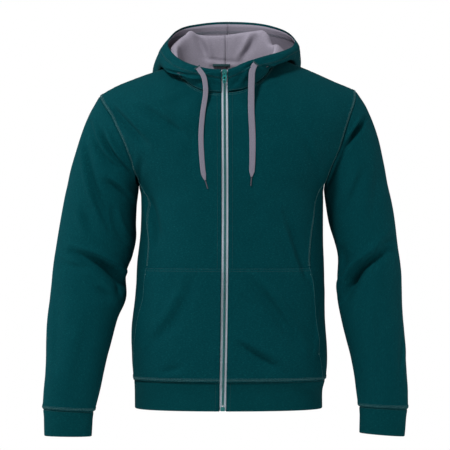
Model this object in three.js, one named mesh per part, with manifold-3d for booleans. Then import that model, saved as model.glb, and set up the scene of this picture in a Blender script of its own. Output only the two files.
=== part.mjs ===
// Zip-up hooded sweatshirt in its worn shape, hollow, with the hood down.
// Millimetres, +Z up, the front faces -Y and +X is the wearer's left.
// The origin is at the middle of the neck, level with the shoulders that carry it.
import * as THREE from 'three';
import { mergeVertices } from 'three/addons/utils/BufferGeometryUtils.js';
import Module from 'manifold-3d';

const wasm = await Module();
wasm.setup();

// Driving sizes
const KNIT = 2.0; // brushed sweatshirt knit
const BAND = 2.5; // doubled knit of the hem band and cuffs
const HOOD_KNIT = 1.8; // outer layer of the hood
const LINING = 1.4; // jersey lining of the hood
const SEAM = 0.3; // gap between two sewn pieces
const HOOD_CLEAR = 6; // how far the hood's pouch stands off the trunk
const ZIP_HALF = 6.3; // from the zip's middle to the cloth beside it
const TAPE_HALF = 11; // zip tape, from the middle to its hidden edge
const TAPE = 0.8;
const TAPE_SET = 3.1; // how far the tape lies behind the cloth's face
const UNDERARM_APART = 0.5; // gap where the sleeve turns back against the side
const CHAIN_HALF = 2.5;
const CHAIN = 2.2;
const HEM_SEAM_Z = -618;
const HEM_Z = -674;
const ZIP_TOP_Z = -20;
const POCKET_TOP_Z = -400;
const NECK = { half: 97, front: 110, back: 60, square: 2.7 }; // neck opening seen from above
const SQUARE = 2.4; // how square the trunk's section is: 2 is an ellipse
const ROUND = 1.9; // the same for the shoulder's arch
const RIDGE_Y = 5; // the shoulder seam, behind the middle
const ARCH = { front: 118, back: 96 }; // drop over which the shoulder rounds into the chest
const ARCH_RUN = { front: 178, back: 158 }; // the arch's length over the cloth
const TEAL = 0x073f43;
const GREY = 0x77737f;
const SILVER = 0xa9b2be;
const ZIP_TEAL = 0x0f6663;

// Trunk sections, from the shoulders down to the hem
const TRUNK = [
  { z: 40, centre: 2, half: 312, front: 104, back: 98 },
  { z: -67, centre: 3, half: 288, front: 126, back: 110 },
  { z: -108, centre: 5, half: 264, front: 133, back: 114 },
  { z: -140, centre: 6, half: 246, front: 137, back: 117 },
  { z: -178, centre: 8, half: 225, front: 141, back: 119 },
  { z: -220, centre: 10, half: 196, front: 142, back: 118 },
  { z: -245, centre: 10.5, half: 180.5, front: 141, back: 117 },
  { z: -264, centre: 12, half: 177, front: 140, back: 116 },
  { z: -324, centre: 11.5, half: 177.5, front: 136, back: 112 },
  { z: -386, centre: 9, half: 182, front: 131, back: 108 },
  { z: -449, centre: 8, half: 185, front: 127, back: 108 },
  { z: -511, centre: 5, half: 188, front: 124, back: 111 },
  { z: -573, centre: 7, half: 190, front: 122, back: 114 },
  { z: -618, centre: 7, half: 187, front: 117, back: 111 },
  { z: -640, centre: 5, half: 184, front: 113, back: 108 },
  { z: -674, centre: 5, half: 184, front: 114, back: 108 },
];

// Shoulder line, from the wearer's right to left
const RIDGE = [
  { x: -300, z: -108 },
  { x: -247, z: -67 },
  { x: -208, z: -45 },
  { x: -134, z: -18 },
  { x: -94, z: -8 },
  { x: 0, z: 0 },
  { x: 94, z: 7 },
  { x: 138, z: -7 },
  { x: 205, z: -36 },
  { x: 252, z: -56 },
  { x: 300, z: -86 },
];

const ZIP_LINE = [
  { z: 0, x: -3 },
  { z: -300, x: -2 },
  { z: -500, x: -3.5 },
  { z: -674, x: -6.5 },
];

// Each side's armhole: how much of the trunk's half width it keeps above the underarm
const RIGHT = { sign: -1, tipZ: -67, underZ: -245, shares: [1, 0.955, 0.905, 0.868, 0.863, 0.868] };
const LEFT = { sign: 1, tipZ: -56, underZ: -245, shares: [1, 0.97, 0.94, 0.92, 0.9, 0.862] };
const ARM_RISES = [0, 20, 45, 80, 120, 190];

// Side panel seam on the front, as a share of the trunk's half width
const SIDE_SEAM = [
  { z: -290, right: 0.93, left: 0.905 },
  { z: -345, right: 0.9, left: 0.862 },
  { z: -386, right: 0.893, left: 0.845 },
  { z: -431, right: 0.902, left: 0.862 },
  { z: -501, right: 0.925, left: 0.89 },
  { z: -577, right: 0.972, left: 0.925 },
  { z: -618, right: 0.985, left: 0.955 },
];
const BACK_SEAM_TURN = 112; // side panel seam on the back, in degrees from the front

// Sleeves: the outer and inner line of each section as seen from the front, its depth and place
const RIGHT_SLEEVE = [
  { outX: -247, outZ: -67, inX: -171, inZ: -245, depth: 74, y: 5 },
  { outX: -270, outZ: -109, inX: -172, inZ: -257, depth: 72, y: 5 },
  { outX: -292, outZ: -170, inX: -175, inZ: -282, depth: 69, y: 4 },
  { outX: -308, outZ: -232, inX: -176, inZ: -312, depth: 66, y: 3 },
  { outX: -320, outZ: -296, inX: -175, inZ: -346, depth: 64, y: 2 },
  { outX: -331, outZ: -356, inX: -182, inZ: -378, depth: 62, y: 0 },
  { outX: -338, outZ: -406, inX: -194, inZ: -412, depth: 60, y: -3 },
  { outX: -343, outZ: -458, inX: -194, inZ: -461, depth: 60, y: -8 },
  { outX: -347, outZ: -500, inX: -212, inZ: -503, depth: 57, y: -14 },
  { outX: -349, outZ: -558, inX: -228, inZ: -564, depth: 52, y: -22 },
  { outX: -351, outZ: -614, inX: -241, inZ: -622, depth: 45, y: -28 },
  { outX: -356, outZ: -674, inX: -254, inZ: -679, depth: 32, y: -33 },
];
const LEFT_SLEEVE = [
  { outX: 252, outZ: -56, inX: 191, inZ: -245, depth: 74, y: 5 },
  { outX: 276, outZ: -94, inX: 192, inZ: -258, depth: 71, y: 5 },
  { outX: 299, outZ: -156, inX: 196, inZ: -284, depth: 67, y: 4 },
  { outX: 313, outZ: -226, inX: 202, inZ: -318, depth: 63, y: 3 },
  { outX: 326, outZ: -292, inX: 211, inZ: -350, depth: 61, y: 2 },
  { outX: 335, outZ: -356, inX: 218, inZ: -382, depth: 59, y: 0 },
  { outX: 342, outZ: -412, inX: 216, inZ: -420, depth: 58, y: -4 },
  { outX: 343, outZ: -462, inX: 216, inZ: -460, depth: 57, y: -9 },
  { outX: 344, outZ: -500, inX: 224, inZ: -500, depth: 55, y: -14 },
  { outX: 348, outZ: -558, inX: 239, inZ: -560, depth: 50, y: -22 },
  { outX: 351, outZ: -616, inX: 250, inZ: -618, depth: 43, y: -28 },
  { outX: 353, outZ: -674, inX: 256, inZ: -669, depth: 31, y: -33 },
];
const RIGHT_CUFF = { outX: -352, outZ: -726, inX: -260, inZ: -727, depth: 25, y: -35 };
const LEFT_CUFF = { outX: 346, outZ: -727, inX: 258, inZ: -720, depth: 25, y: -35 };

// Largest folds, seen from the front: start, middle and end of each trough
const FRONT_FOLDS = [
  { from: [-166, -262], via: [-152, -310], to: [-136, -362], depth: 7, width: 14 },
  { from: [112, -292], via: [128, -350], to: [150, -415], depth: 4, width: 12 },
  { from: [26, -548], via: [66, -578], to: [98, -600], depth: 6, width: 15 },
  { from: [-28, -450], via: [-58, -520], to: [-92, -585], depth: 3, width: 22 },
  { from: [-225, -86], via: [-190, -130], to: [-148, -172], depth: 4, width: 16 },
];
const BACK_FOLDS = [
  { from: [-150, -300], via: [-90, -340], to: [-30, -352], depth: 5, width: 18 },
  { from: [150, -305], via: [95, -350], to: [35, -368], depth: 5, width: 18 },
  { from: [-120, -560], via: [-20, -582], to: [90, -556], depth: 4, width: 16 },
];
const RIGHT_SLEEVE_FOLDS = [
  { from: [-300, -372], via: [-248, -392], to: [-202, -434], depth: 15, width: 15 },
  { from: [-292, -404], via: [-258, -428], to: [-222, -466], depth: 6, width: 12 },
  { from: [-276, -146], via: [-262, -220], to: [-222, -330], depth: 6, width: 11 },
  { from: [-246, -132], via: [-222, -190], to: [-190, -226], depth: 6, width: 11 },
];
const LEFT_SLEEVE_FOLDS = [
  { from: [320, -374], via: [272, -400], to: [236, -462], depth: 15, width: 15 },
  { from: [262, -118], via: [234, -158], to: [206, -208], depth: 7, width: 11 },
];
const SLEEVE_BACK_FOLDS = [
  { from: [330, -352], via: [280, -372], to: [232, -404], depth: 9, width: 14 },
  { from: [336, -420], via: [288, -440], to: [238, -436], depth: 7, width: 14 },
];

// Hood sections round the neck. turn is 0 at the zip and 180 at the centre back. Each row gives how
// far the cloth stands out from and above the neck seam: at the inner ridge, at the bottom of the
// pouch and where the pouch bulges most.
const HOOD_RIGHT = [
  { turn: 0, ridgeOut: 1, ridgeUp: 13, lowOut: 1.5, lowUp: 20, bulgeOut: 2, bulgeUp: 33 },
  { turn: 14, ridgeOut: 3, ridgeUp: 15, lowOut: 5, lowUp: 20, bulgeOut: 8, bulgeUp: 31 },
  { turn: 40, ridgeOut: 4, ridgeUp: 17, lowOut: 13, lowUp: 14, bulgeOut: 17, bulgeUp: 22 },
  { turn: 62, ridgeOut: 3, ridgeUp: 20, lowOut: 24, lowUp: 3, bulgeOut: 28, bulgeUp: 11 },
  { turn: 84, ridgeOut: 1, ridgeUp: 25, lowOut: 26, lowUp: -3, bulgeOut: 31, bulgeUp: 7 },
  { turn: 106, ridgeOut: 3, ridgeUp: 43, lowOut: 35, lowUp: -18, bulgeOut: 42, bulgeUp: -2 },
  { turn: 124, ridgeOut: 3, ridgeUp: 61, lowOut: 52, lowUp: -58, bulgeOut: 66, bulgeUp: -26 },
  { turn: 137, ridgeOut: 4, ridgeUp: 73, lowOut: 60, lowUp: -94, bulgeOut: 79, bulgeUp: -50 },
  { turn: 143, ridgeOut: 4, ridgeUp: 81, lowOut: 63, lowUp: -106, bulgeOut: 84, bulgeUp: -60 },
  { turn: 151, ridgeOut: 4, ridgeUp: 76, lowOut: 66, lowUp: -120, bulgeOut: 88, bulgeUp: -67 },
  { turn: 163, ridgeOut: 4, ridgeUp: 74, lowOut: 69, lowUp: -138, bulgeOut: 94, bulgeUp: -79 },
  { turn: 180, ridgeOut: 4, ridgeUp: 73, lowOut: 70, lowUp: -146, bulgeOut: 97, bulgeUp: -84 },
];
const HOOD_LEFT = [
  { turn: 0, ridgeOut: 1, ridgeUp: 13, lowOut: 1.5, lowUp: 20, bulgeOut: 2, bulgeUp: 33 },
  { turn: 14, ridgeOut: 3, ridgeUp: 16, lowOut: 6, lowUp: 23, bulgeOut: 9, bulgeUp: 34 },
  { turn: 40, ridgeOut: 4, ridgeUp: 20, lowOut: 14, lowUp: 19, bulgeOut: 18, bulgeUp: 27 },
  { turn: 62, ridgeOut: 3, ridgeUp: 19, lowOut: 24, lowUp: 9, bulgeOut: 29, bulgeUp: 18 },
  { turn: 84, ridgeOut: 1, ridgeUp: 22, lowOut: 32, lowUp: -2, bulgeOut: 37, bulgeUp: 10 },
  { turn: 106, ridgeOut: 3, ridgeUp: 29, lowOut: 42, lowUp: -18, bulgeOut: 50, bulgeUp: -2 },
  { turn: 122, ridgeOut: 3, ridgeUp: 34, lowOut: 51, lowUp: -54, bulgeOut: 64, bulgeUp: -24 },
  { turn: 128, ridgeOut: 3, ridgeUp: 41, lowOut: 55, lowUp: -72, bulgeOut: 71, bulgeUp: -36 },
  { turn: 135, ridgeOut: 4, ridgeUp: 60, lowOut: 59, lowUp: -90, bulgeOut: 78, bulgeUp: -48 },
  { turn: 141, ridgeOut: 4, ridgeUp: 69, lowOut: 62, lowUp: -102, bulgeOut: 82, bulgeUp: -56 },
  { turn: 149, ridgeOut: 4, ridgeUp: 71, lowOut: 66, lowUp: -118, bulgeOut: 88, bulgeUp: -66 },
  { turn: 163, ridgeOut: 4, ridgeUp: 73, lowOut: 69, lowUp: -138, bulgeOut: 94, bulgeUp: -79 },
  { turn: 180, ridgeOut: 4, ridgeUp: 73, lowOut: 70, lowUp: -146, bulgeOut: 97, bulgeUp: -84 },
];

// The hood's edge, round from the centre back by the wearer's right to the zip and on by the left
const RIM = [
  { turn: -215, x: 72, y: 110, z: 83 },
  { turn: -180, x: 5, y: 122, z: 88 },
  { turn: -152, x: -48, y: 116, z: 84 },
  { turn: -122, x: -92, y: 83, z: 71 },
  { turn: -93, x: -114, y: 14, z: 40 },
  { turn: -75, x: -107, y: -32, z: 20 },
  { turn: -58, x: -91, y: -68, z: 3 },
  { turn: -40, x: -68, y: -91, z: -9 },
  { turn: -20, x: -36, y: -103, z: -18 },
  { turn: -4, x: -9, y: -106, z: -20 },
  { turn: 4, x: 7.5, y: -106, z: -20 },
  { turn: 18, x: 30, y: -104, z: -9 },
  { turn: 40, x: 69, y: -97, z: 4 },
  { turn: 62, x: 110, y: -66, z: 18 },
  { turn: 80, x: 130, y: -22, z: 30 },
  { turn: 95, x: 135, y: 18, z: 44 },
  { turn: 120, x: 117, y: 78, z: 67 },
  { turn: 145, x: 72, y: 110, z: 83 },
  { turn: 180, x: 5, y: 122, z: 88 },
  { turn: 208, x: -48, y: 116, z: 84 },
];

// Drawcord ends: the points that each hangs through, from the hood's edge to its tip
const CORD = { thick: 2.2, clear: 0.5 };
const CORD_RIGHT = [
  { x: -55, z: -17, half: 4.4 },
  { x: -51, z: -22, half: 4.7 },
  { x: -43, z: -34, half: 4.8 },
  { x: -39.5, z: -50, half: 4.8 },
  { x: -39, z: -68, half: 4.8 },
  { x: -44, z: -103, half: 4.8 },
  { x: -47.5, z: -146, half: 4.9 },
  { x: -46, z: -189, half: 4.9 },
  { x: -42.5, z: -222, half: 4.6 },
  { x: -39.5, z: -233, half: 1.5 },
];
const CORD_LEFT = [
  { x: 57, z: -10, half: 5.0 },
  { x: 54, z: -14, half: 5.5 },
  { x: 50, z: -24, half: 5.9 },
  { x: 48.5, z: -44, half: 6 },
  { x: 48, z: -68, half: 6 },
  { x: 48, z: -103, half: 6 },
  { x: 50, z: -146, half: 6 },
  { x: 50, z: -189, half: 5.8 },
  { x: 49, z: -216, half: 5.2 },
  { x: 48.2, z: -227, half: 1.5 },
];
const TIP = { radius: 1.25, length: 16.5 };
const HANGER = { from: -26, to: 8, z: -3, tall: 5, thick: 1.2, bow: 2, lean: 1.6, steps: 8 };

// Facets: how many steps each piece has
const STEPS = {
  pocket: 6, waist: 5, armhole: 9, under: 4, neck: 4, shoulder: 4, sleeve: 19, cuff: 3, hem: 3,
  cord: 30, cordRing: 8,
};

const radians = THREE.MathUtils.degToRad;
const lerp = THREE.MathUtils.lerp;
const clamp = THREE.MathUtils.clamp;
const power = (v, p) => Math.sign(v) * Math.abs(v) ** p;
const vec = (x, y, z) => new THREE.Vector3(x, y, z);
const range = (n) => Array.from({ length: n }, (_, i) => i);

// Smooth curves through a table's rows: look(table, key)(column, place)
function look(rows, key, straight = false) {
  const sorted = [...rows].sort((a, b) => a[key] - b[key]);
  const slope = (name, i) => {
    const a = sorted[Math.max(0, i - 1)];
    const b = sorted[Math.min(sorted.length - 1, i + 1)];
    return (b[name] - a[name]) / (b[key] - a[key]);
  };
  return (name, place) => {
    const at = clamp(place, sorted[0][key], sorted[sorted.length - 1][key]);
    let i = 0;
    while (i < sorted.length - 2 && at > sorted[i + 1][key]) i += 1;
    const [a, b] = [sorted[i], sorted[i + 1]];
    const span = b[key] - a[key];
    const t = (at - a[key]) / span;
    if (straight) return lerp(a[name], b[name], t);
    const [m, n] = [slope(name, i) * span, slope(name, i + 1) * span];
    return (2 * t ** 3 - 3 * t ** 2 + 1) * a[name] + (t ** 3 - 2 * t ** 2 + t) * m
      + (3 * t ** 2 - 2 * t ** 3) * b[name] + (t ** 3 - t ** 2) * n;
  };
}

const trunk = look(TRUNK, 'z');
const ridge = look(RIDGE, 'x');
const zipLine = look(ZIP_LINE, 'z');
const sideSeam = look(SIDE_SEAM, 'z');
const hoodRows = { right: look(HOOD_RIGHT, 'turn'), left: look(HOOD_LEFT, 'turn') };
const rimLine = look(RIM, 'turn');
const ridgeZ = (x) => ridge('z', x);
const zipX = (z) => zipLine('x', z);

// How far a point lies inside the folds of a table, as a depth
function foldDepth(folds, x, z) {
  let total = 0;
  for (const { from, via, to, depth, width } of folds) {
    let best = Infinity;
    let along = 0;
    for (const i of range(9)) {
      const t = i / 8;
      const px = (1 - t) ** 2 * from[0] + 2 * t * (1 - t) * via[0] + t * t * to[0];
      const pz = (1 - t) ** 2 * from[1] + 2 * t * (1 - t) * via[1] + t * t * to[1];
      const away = Math.hypot(x - px, z - pz);
      if (away < best) [best, along] = [away, t];
    }
    const ends = Math.sin(Math.PI * lerp(0.12, 0.88, along));
    total += depth * ends * Math.exp(-((best / width) ** 2));
  }
  return total;
}

// Trunk surface. turn is 0 at the front, 90 at the wearer's left and 180 at the back.
function bareBody(turn, z) {
  const x = trunk('centre', z) + trunk('half', z) * power(Math.sin(turn), 2 / SQUARE);
  const face = Math.cos(turn) > 0 ? 'front' : 'back';
  const share = clamp((ridgeZ(x) - z) / ARCH[face] - 1e-6, 0, 1);
  const lean = (1 - (1 - share) ** ROUND) ** (1 / ROUND);
  return vec(x, RIDGE_Y - power(Math.cos(turn), 2 / SQUARE) * trunk(face, z) * lean, z);
}

function surfaceNormal(surface, a, b, da, db) {
  const along = surface(a + da, b).sub(surface(a - da, b));
  const down = surface(a, b - db).sub(surface(a, b + db));
  return down.cross(along).normalize();
}

function body(turn, z) {
  const point = bareBody(turn, z);
  const folds = Math.cos(turn) > 0 ? FRONT_FOLDS : BACK_FOLDS;
  const beside = clamp((Math.abs(point.x - zipX(z)) - 14) / 20, Math.cos(turn) > 0 ? 0 : 1, 1);
  const fade = beside * clamp((ridgeZ(point.x) - z) / 50, 0, 1) * Math.min(1, Math.abs(Math.cos(turn)) * 3);
  const depth = foldDepth(folds, point.x, z) * fade;
  if (depth < 0.05) return point;
  return point.addScaledVector(surfaceNormal(bareBody, turn, z, 0.01, 1), -depth);
}

const shareTurn = (share) => Math.asin(clamp(power(share, SQUARE / 2), -1, 1));
const turnAt = (x, z) => shareTurn((x - trunk('centre', z)) / trunk('half', z));

// Length over the cloth from the shoulder line down, and the height it leads to
function runAt(turn, z) {
  const face = Math.cos(turn) > 0 ? 'front' : 'back';
  const x = trunk('centre', z) + trunk('half', z) * power(Math.sin(turn), 2 / SQUARE);
  const drop = Math.max(0, ridgeZ(x) - z - 1e-4);
  if (drop > ARCH[face]) return ARCH_RUN[face] + drop - ARCH[face];
  return ARCH_RUN[face] * Math.acos((1 - drop / ARCH[face]) ** (ROUND / 2)) / (Math.PI / 2);
}

function heightAt(turn, run) {
  const face = Math.cos(turn) > 0 ? 'front' : 'back';
  const angle = clamp(run / ARCH_RUN[face], 0, 1) * Math.PI / 2;
  const drop = run > ARCH_RUN[face]
    ? ARCH[face] + run - ARCH_RUN[face]
    : ARCH[face] * (1 - Math.max(0, Math.cos(angle)) ** (2 / ROUND));
  let z = -drop;
  for (const _ of range(12)) {
    const x = trunk('centre', z) + trunk('half', z) * power(Math.sin(turn), 2 / SQUARE);
    z = ridgeZ(x) - drop;
  }
  return z;
}

// Armholes, each with its tip settled on the shoulder line
function armOf({ sign, tipZ, underZ, shares }) {
  const share = look(ARM_RISES.map((rise, i) => ({ rise, share: shares[i] })), 'rise');
  let tip = tipZ;
  for (const _ of range(30)) {
    tip = ridgeZ(trunk('centre', tip) + sign * trunk('half', tip) * share('share', tip - underZ));
  }
  return { sign, tipZ: tip, underZ, shareAt: (z) => share('share', z - underZ) };
}
const RIGHT_ARM = armOf(RIGHT);
const LEFT_ARM = armOf(LEFT);

// Armhole loop: 0 at the shoulder, 180 at the underarm, the front half first
function armhole(arm, angle) {
  const z = arm.underZ + (arm.tipZ - arm.underZ) * (1 + Math.cos(angle)) / 2;
  const turn = shareTurn(arm.shareAt(z));
  return { turn: arm.sign * (angle <= Math.PI ? turn : Math.PI - turn), z };
}
const ARM_FRONT = radians(152); // where the side panel begins on the armhole
const armFrontAngles = range(STEPS.armhole + 1).map((i) => ARM_FRONT * i / STEPS.armhole);
const armUnderAngles = range(STEPS.under + 1)
  .map((i) => lerp(ARM_FRONT, 2 * Math.PI - ARM_FRONT, i / STEPS.under));
const armAngles = [
  ...armFrontAngles.slice(0, -1),
  ...armUnderAngles.slice(0, -1),
  ...armFrontAngles.slice(1).reverse().map((a) => 2 * Math.PI - a),
];

// Neckline loop, seen from above a squared oval laid over the shoulders
function onShoulders(x, y) {
  const face = y < RIDGE_Y ? 'front' : 'back';
  let z = 0;
  for (const _ of range(12)) {
    const across = clamp(Math.abs((x - trunk('centre', z)) / trunk('half', z)), 0, 1);
    const deep = trunk(face, z) * (1 - across ** SQUARE) ** (1 / SQUARE);
    const lean = clamp(Math.abs(y - RIDGE_Y) / deep, 0, 1);
    z = ridgeZ(x) - ARCH[face] * (1 - (1 - lean ** ROUND) ** (1 / ROUND));
  }
  return vec(x, y, z);
}

function neckline(angle) {
  const reach = Math.cos(angle) > 0 ? NECK.front : NECK.back;
  return onShoulders(
    NECK.half * power(Math.sin(angle), 2 / NECK.square),
    RIDGE_Y - reach * power(Math.cos(angle), 2 / NECK.square),
  );
}

// Moves a point out of the trunk until it stands clear of its surface
function clearOf(point, clear) {
  const beyond = (p) => {
    const face = p.y < RIDGE_Y ? 'front' : 'back';
    const across = clamp(Math.abs((p.x - trunk('centre', p.z)) / trunk('half', p.z)), 0, 0.999);
    const deep = trunk(face, p.z) * (1 - across ** SQUARE) ** (1 / SQUARE);
    const share = (ridgeZ(p.x) - p.z) / ARCH[face];
    const rise = share > 1 ? 0 : (1 - share) ** ROUND;
    return (Math.abs(p.y - RIDGE_Y) / deep) ** ROUND + rise - 1;
  };
  const p = point.clone();
  for (const _ of range(4)) {
    const value = beyond(p);
    const slope = vec(...[vec(1, 0, 0), vec(0, 1, 0), vec(0, 0, 1)]
      .map((axis) => beyond(p.clone().add(axis)) - value));
    const away = value / slope.length();
    if (away >= clear) break;
    p.addScaledVector(slope.normalize(), Math.min(20, clear - away));
  }
  return p;
}

// A grid of points between four edges, given in any pair of coordinates. What the top and the
// bottom edge have of their own shape dies away from them.
function between(bottom, top, start, end) {
  const rows = start.length - 1;
  const columns = bottom.length - 1;
  const own = (edge, j, k) => edge[j][k] - lerp(edge[0][k], edge[columns][k], j / columns);
  return range(rows + 1).map((i) => range(columns + 1).map((j) => {
    const [v, u] = [i / rows, j / columns];
    return [0, 1].map((k) => lerp(start[i][k], end[i][k], u)
      + (1 - v) ** 3 * own(bottom, j, k) + v ** 3 * own(top, j, k));
  }));
}

// Sewn sheets. Normals are shared at the seams, so that walls meet in a mitre
const sheets = [];
function sheet(name, points, { flip = false, tube = false, thick = KNIT, cut = {}, tint = TEAL }) {
  const made = { name, points, flip, tube, thick, cut, tint };
  sheets.push(made);
  return made;
}

const keyOf = (p) => [p.x, p.y, p.z].map((v) => Math.round(v * 20)).join();

function gridFaces(points, tube) {
  const rows = points.length;
  const columns = points[0].length;
  const faces = [];
  for (const i of range(rows - 1)) {
    for (const j of range(tube ? columns : columns - 1)) {
      const k = (j + 1) % columns;
      faces.push([[i, j], [i, k], [i + 1, k], [i + 1, j]]);
    }
  }
  return faces;
}

function sharedNormals(group) {
  const sums = new Map();
  for (const { points, flip, tube } of group) {
    for (const face of gridFaces(points, tube)) {
      const [a, b, c, d] = face.map(([i, j]) => points[i][j]);
      const normal = c.clone().sub(a).cross(d.clone().sub(b)).multiplyScalar(flip ? -1 : 1);
      for (const p of [a, b, c, d]) {
        const key = keyOf(p);
        if (!sums.has(key)) sums.set(key, vec(0, 0, 0));
        sums.get(key).add(normal);
      }
    }
  }
  return (p) => sums.get(keyOf(p))?.clone().normalize();
}

// Draws a sheet's named edges back from its seams by half a gap, measured square to the seam
function drawnBack(points, tube, cut) {
  const moved = points.map((row) => row.map((p) => p.clone()));
  const rows = points.length;
  const columns = points[0].length;
  const shift = (at, inward, before, after, gap) => {
    const get = ([i, j]) => points[i][(j + columns) % columns];
    const seam = get(after).clone().sub(get(before)).normalize();
    const step = get(inward).clone().sub(get(at));
    const square = step.clone().addScaledVector(seam, -step.dot(seam)).length();
    moved[at[0]][at[1]].addScaledVector(step, Math.min(gap / square, 4 * gap / step.length()));
  };
  const half = SEAM / 2;
  const last = { row: rows - 1, column: columns - 1 };
  for (const j of range(columns)) {
    const [before, after] = tube ? [j - 1, j + 1] : [Math.max(0, j - 1), Math.min(last.column, j + 1)];
    if (cut.first !== false) shift([0, j], [1, j], [0, before], [0, after], cut.first ?? half);
    if (cut.last !== false) {
      shift([last.row, j], [last.row - 1, j], [last.row, before], [last.row, after], cut.last ?? half);
    }
  }
  if (tube) return moved;
  for (const i of range(rows)) {
    const [before, after] = [Math.max(0, i - 1), Math.min(last.row, i + 1)];
    if (cut.start !== false) shift([i, 0], [i, 1], [before, 0], [after, 0], cut.start ?? half);
    if (cut.end !== false) {
      const seam = [[before, last.column], [after, last.column]];
      shift([i, last.column], [i, last.column - 1], ...seam, cut.end ?? half);
    }
  }
  return moved;
}

function closedWall(outer, inner, flip, tube) {
  const rows = outer.length;
  const columns = outer[0].length;
  const flat = [...outer.flat(), ...inner.flat()];
  const index = (i, j, side) => side * rows * columns + i * columns + (j % columns);
  const triangles = [];
  const shorter = (a, b, c, d) => flat[b].distanceTo(flat[d]) < flat[a].distanceTo(flat[c]);
  const quad = (a, b, c, d, turned = shorter(a, b, c, d)) => {
    const [p, q, r, s] = flip ? [a, d, c, b] : [a, b, c, d];
    triangles.push(...(turned ? [p, q, s, q, r, s] : [p, q, r, p, r, s]));
  };
  const across = tube ? columns : columns - 1;
  for (const i of range(rows - 1)) {
    for (const j of range(across)) {
      const corners = [[i, j], [i, j + 1], [i + 1, j + 1], [i + 1, j]];
      const [a, b, c, d] = corners.map(([row, column]) => index(row, column, 0));
      const turned = shorter(a, b, c, d);
      quad(a, b, c, d, turned);
      const [e, f, g, h] = corners.map(([row, column]) => index(row, column, 1));
      quad(e, h, g, f, turned);
    }
  }
  for (const j of range(across)) {
    quad(index(0, j, 0), index(0, j, 1), index(0, j + 1, 1), index(0, j + 1, 0));
    const last = rows - 1;
    quad(index(last, j, 0), index(last, j + 1, 0), index(last, j + 1, 1), index(last, j, 1));
  }
  if (!tube) {
    const last = columns - 1;
    for (const i of range(rows - 1)) {
      quad(index(i, 0, 0), index(i + 1, 0, 0), index(i + 1, 0, 1), index(i, 0, 1));
      quad(index(i, last, 0), index(i, last, 1), index(i + 1, last, 1), index(i + 1, last, 0));
    }
  }
  const geometry = new THREE.BufferGeometry();
  const positions = flat.flatMap((p) => [p.x, p.y, p.z]);
  geometry.setAttribute('position', new THREE.Float32BufferAttribute(positions, 3));
  geometry.setIndex(triangles);
  geometry.computeVertexNormals();
  return geometry;
}

const garment = new THREE.Group();
function add(name, geometry, tint, roughness = 0.9, metalness = 0) {
  const material = new THREE.MeshStandardMaterial({ color: tint, roughness, metalness });
  const mesh = new THREE.Mesh(geometry, material);
  mesh.name = name;
  garment.add(mesh);
  return mesh;
}

function addWalls(group, lift = 0, beside = [], gap = 0) {
  const own = sharedNormals(group);
  const other = sharedNormals(beside);
  // Where two groups meet nearly in line they share a mitre; where they turn back they stand apart
  const meet = (p) => {
    const normal = own(p);
    const next = other(p);
    if (!next) return { normal, apart: vec(0, 0, 0) };
    const inLine = THREE.MathUtils.smoothstep(normal.dot(next), 0, 0.7);
    const apart = next.clone().multiplyScalar((1 - inLine) * gap);
    return { normal: normal.addScaledVector(next, inLine).normalize(), apart };
  };
  for (const { name, points, flip, tube, thick, cut, tint } of group) {
    const offset = (depth) => points.map((row) => row.map((p) => {
      const { normal, apart } = meet(p);
      return p.clone().addScaledVector(normal, depth).add(apart);
    }));
    const outer = drawnBack(offset(lift), tube, cut);
    const inner = drawnBack(offset(lift - thick), tube, cut);
    add(name, closedWall(outer, inner, flip, tube), tint);
  }
}

// Body panels
const seamTurn = (arm, z) => {
  const low = armhole(arm, ARM_FRONT);
  const top = SIDE_SEAM[0].z;
  const share = (at) => sideSeam(arm.sign > 0 ? 'left' : 'right', at);
  if (z <= top) return arm.sign * shareTurn(share(z));
  const t = (z - top) / (low.z - top);
  return arm.sign * lerp(shareTurn(share(top)), Math.abs(low.turn), t * t);
};
const backSeamTurn = (arm, z) => {
  const low = armhole(arm, 2 * Math.PI - ARM_FRONT);
  const t = clamp((z - SIDE_SEAM[0].z) / (low.z - SIDE_SEAM[0].z), 0, 1);
  return arm.sign * lerp(radians(BACK_SEAM_TURN), Math.abs(low.turn), t * t);
};
const bodyHeights = (arm) => {
  const low = armhole(arm, ARM_FRONT).z;
  return [
    ...range(STEPS.pocket).map((i) => lerp(HEM_SEAM_Z, POCKET_TOP_Z, i / STEPS.pocket)),
    ...range(STEPS.waist + 1).map((i) => lerp(POCKET_TOP_Z, low, i / STEPS.waist)),
  ];
};
const place = ({ turn, z }) => [turn, runAt(turn, z)];
const hemLine = (from, to, columns) => range(columns + 1)
  .map((j) => place({ turn: lerp(from, to, j / columns), z: HEM_SEAM_Z }));

// A panel's points: its rows run level up to the pocket's top and then bend with the shoulders
function panelPoints(coordinates) {
  const columns = coordinates[0].length - 1;
  return coordinates.map((row, i) => {
    const placed = row.map(([turn, run]) => ({ turn, z: heightAt(turn, run) }));
    const bend = clamp((i - STEPS.pocket) / 6, 0, 1);
    return placed.map(({ turn, z }, j) => {
      const level = lerp(placed[0].z, placed[columns].z, j / columns);
      return body(turn, lerp(level, z, bend));
    });
  });
}

const neckStart = (sign) => {
  let angle = 0;
  for (const _ of range(8)) {
    const share = (zipX(neckline(angle).z) + sign * ZIP_HALF) / NECK.half;
    angle = Math.asin(power(share, NECK.square / 2));
  }
  return angle;
};

// The neck seam in straight steps, the same for the fronts, the back and the hood
const neckAngles = (sign) => [
  ...range(STEPS.neck).map((i) => lerp(neckStart(sign), sign * Math.PI / 2, i / STEPS.neck)),
  ...range(STEPS.neck + 1).map((i) => sign * Math.PI / 2 * (1 + i / STEPS.neck)),
];

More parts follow.
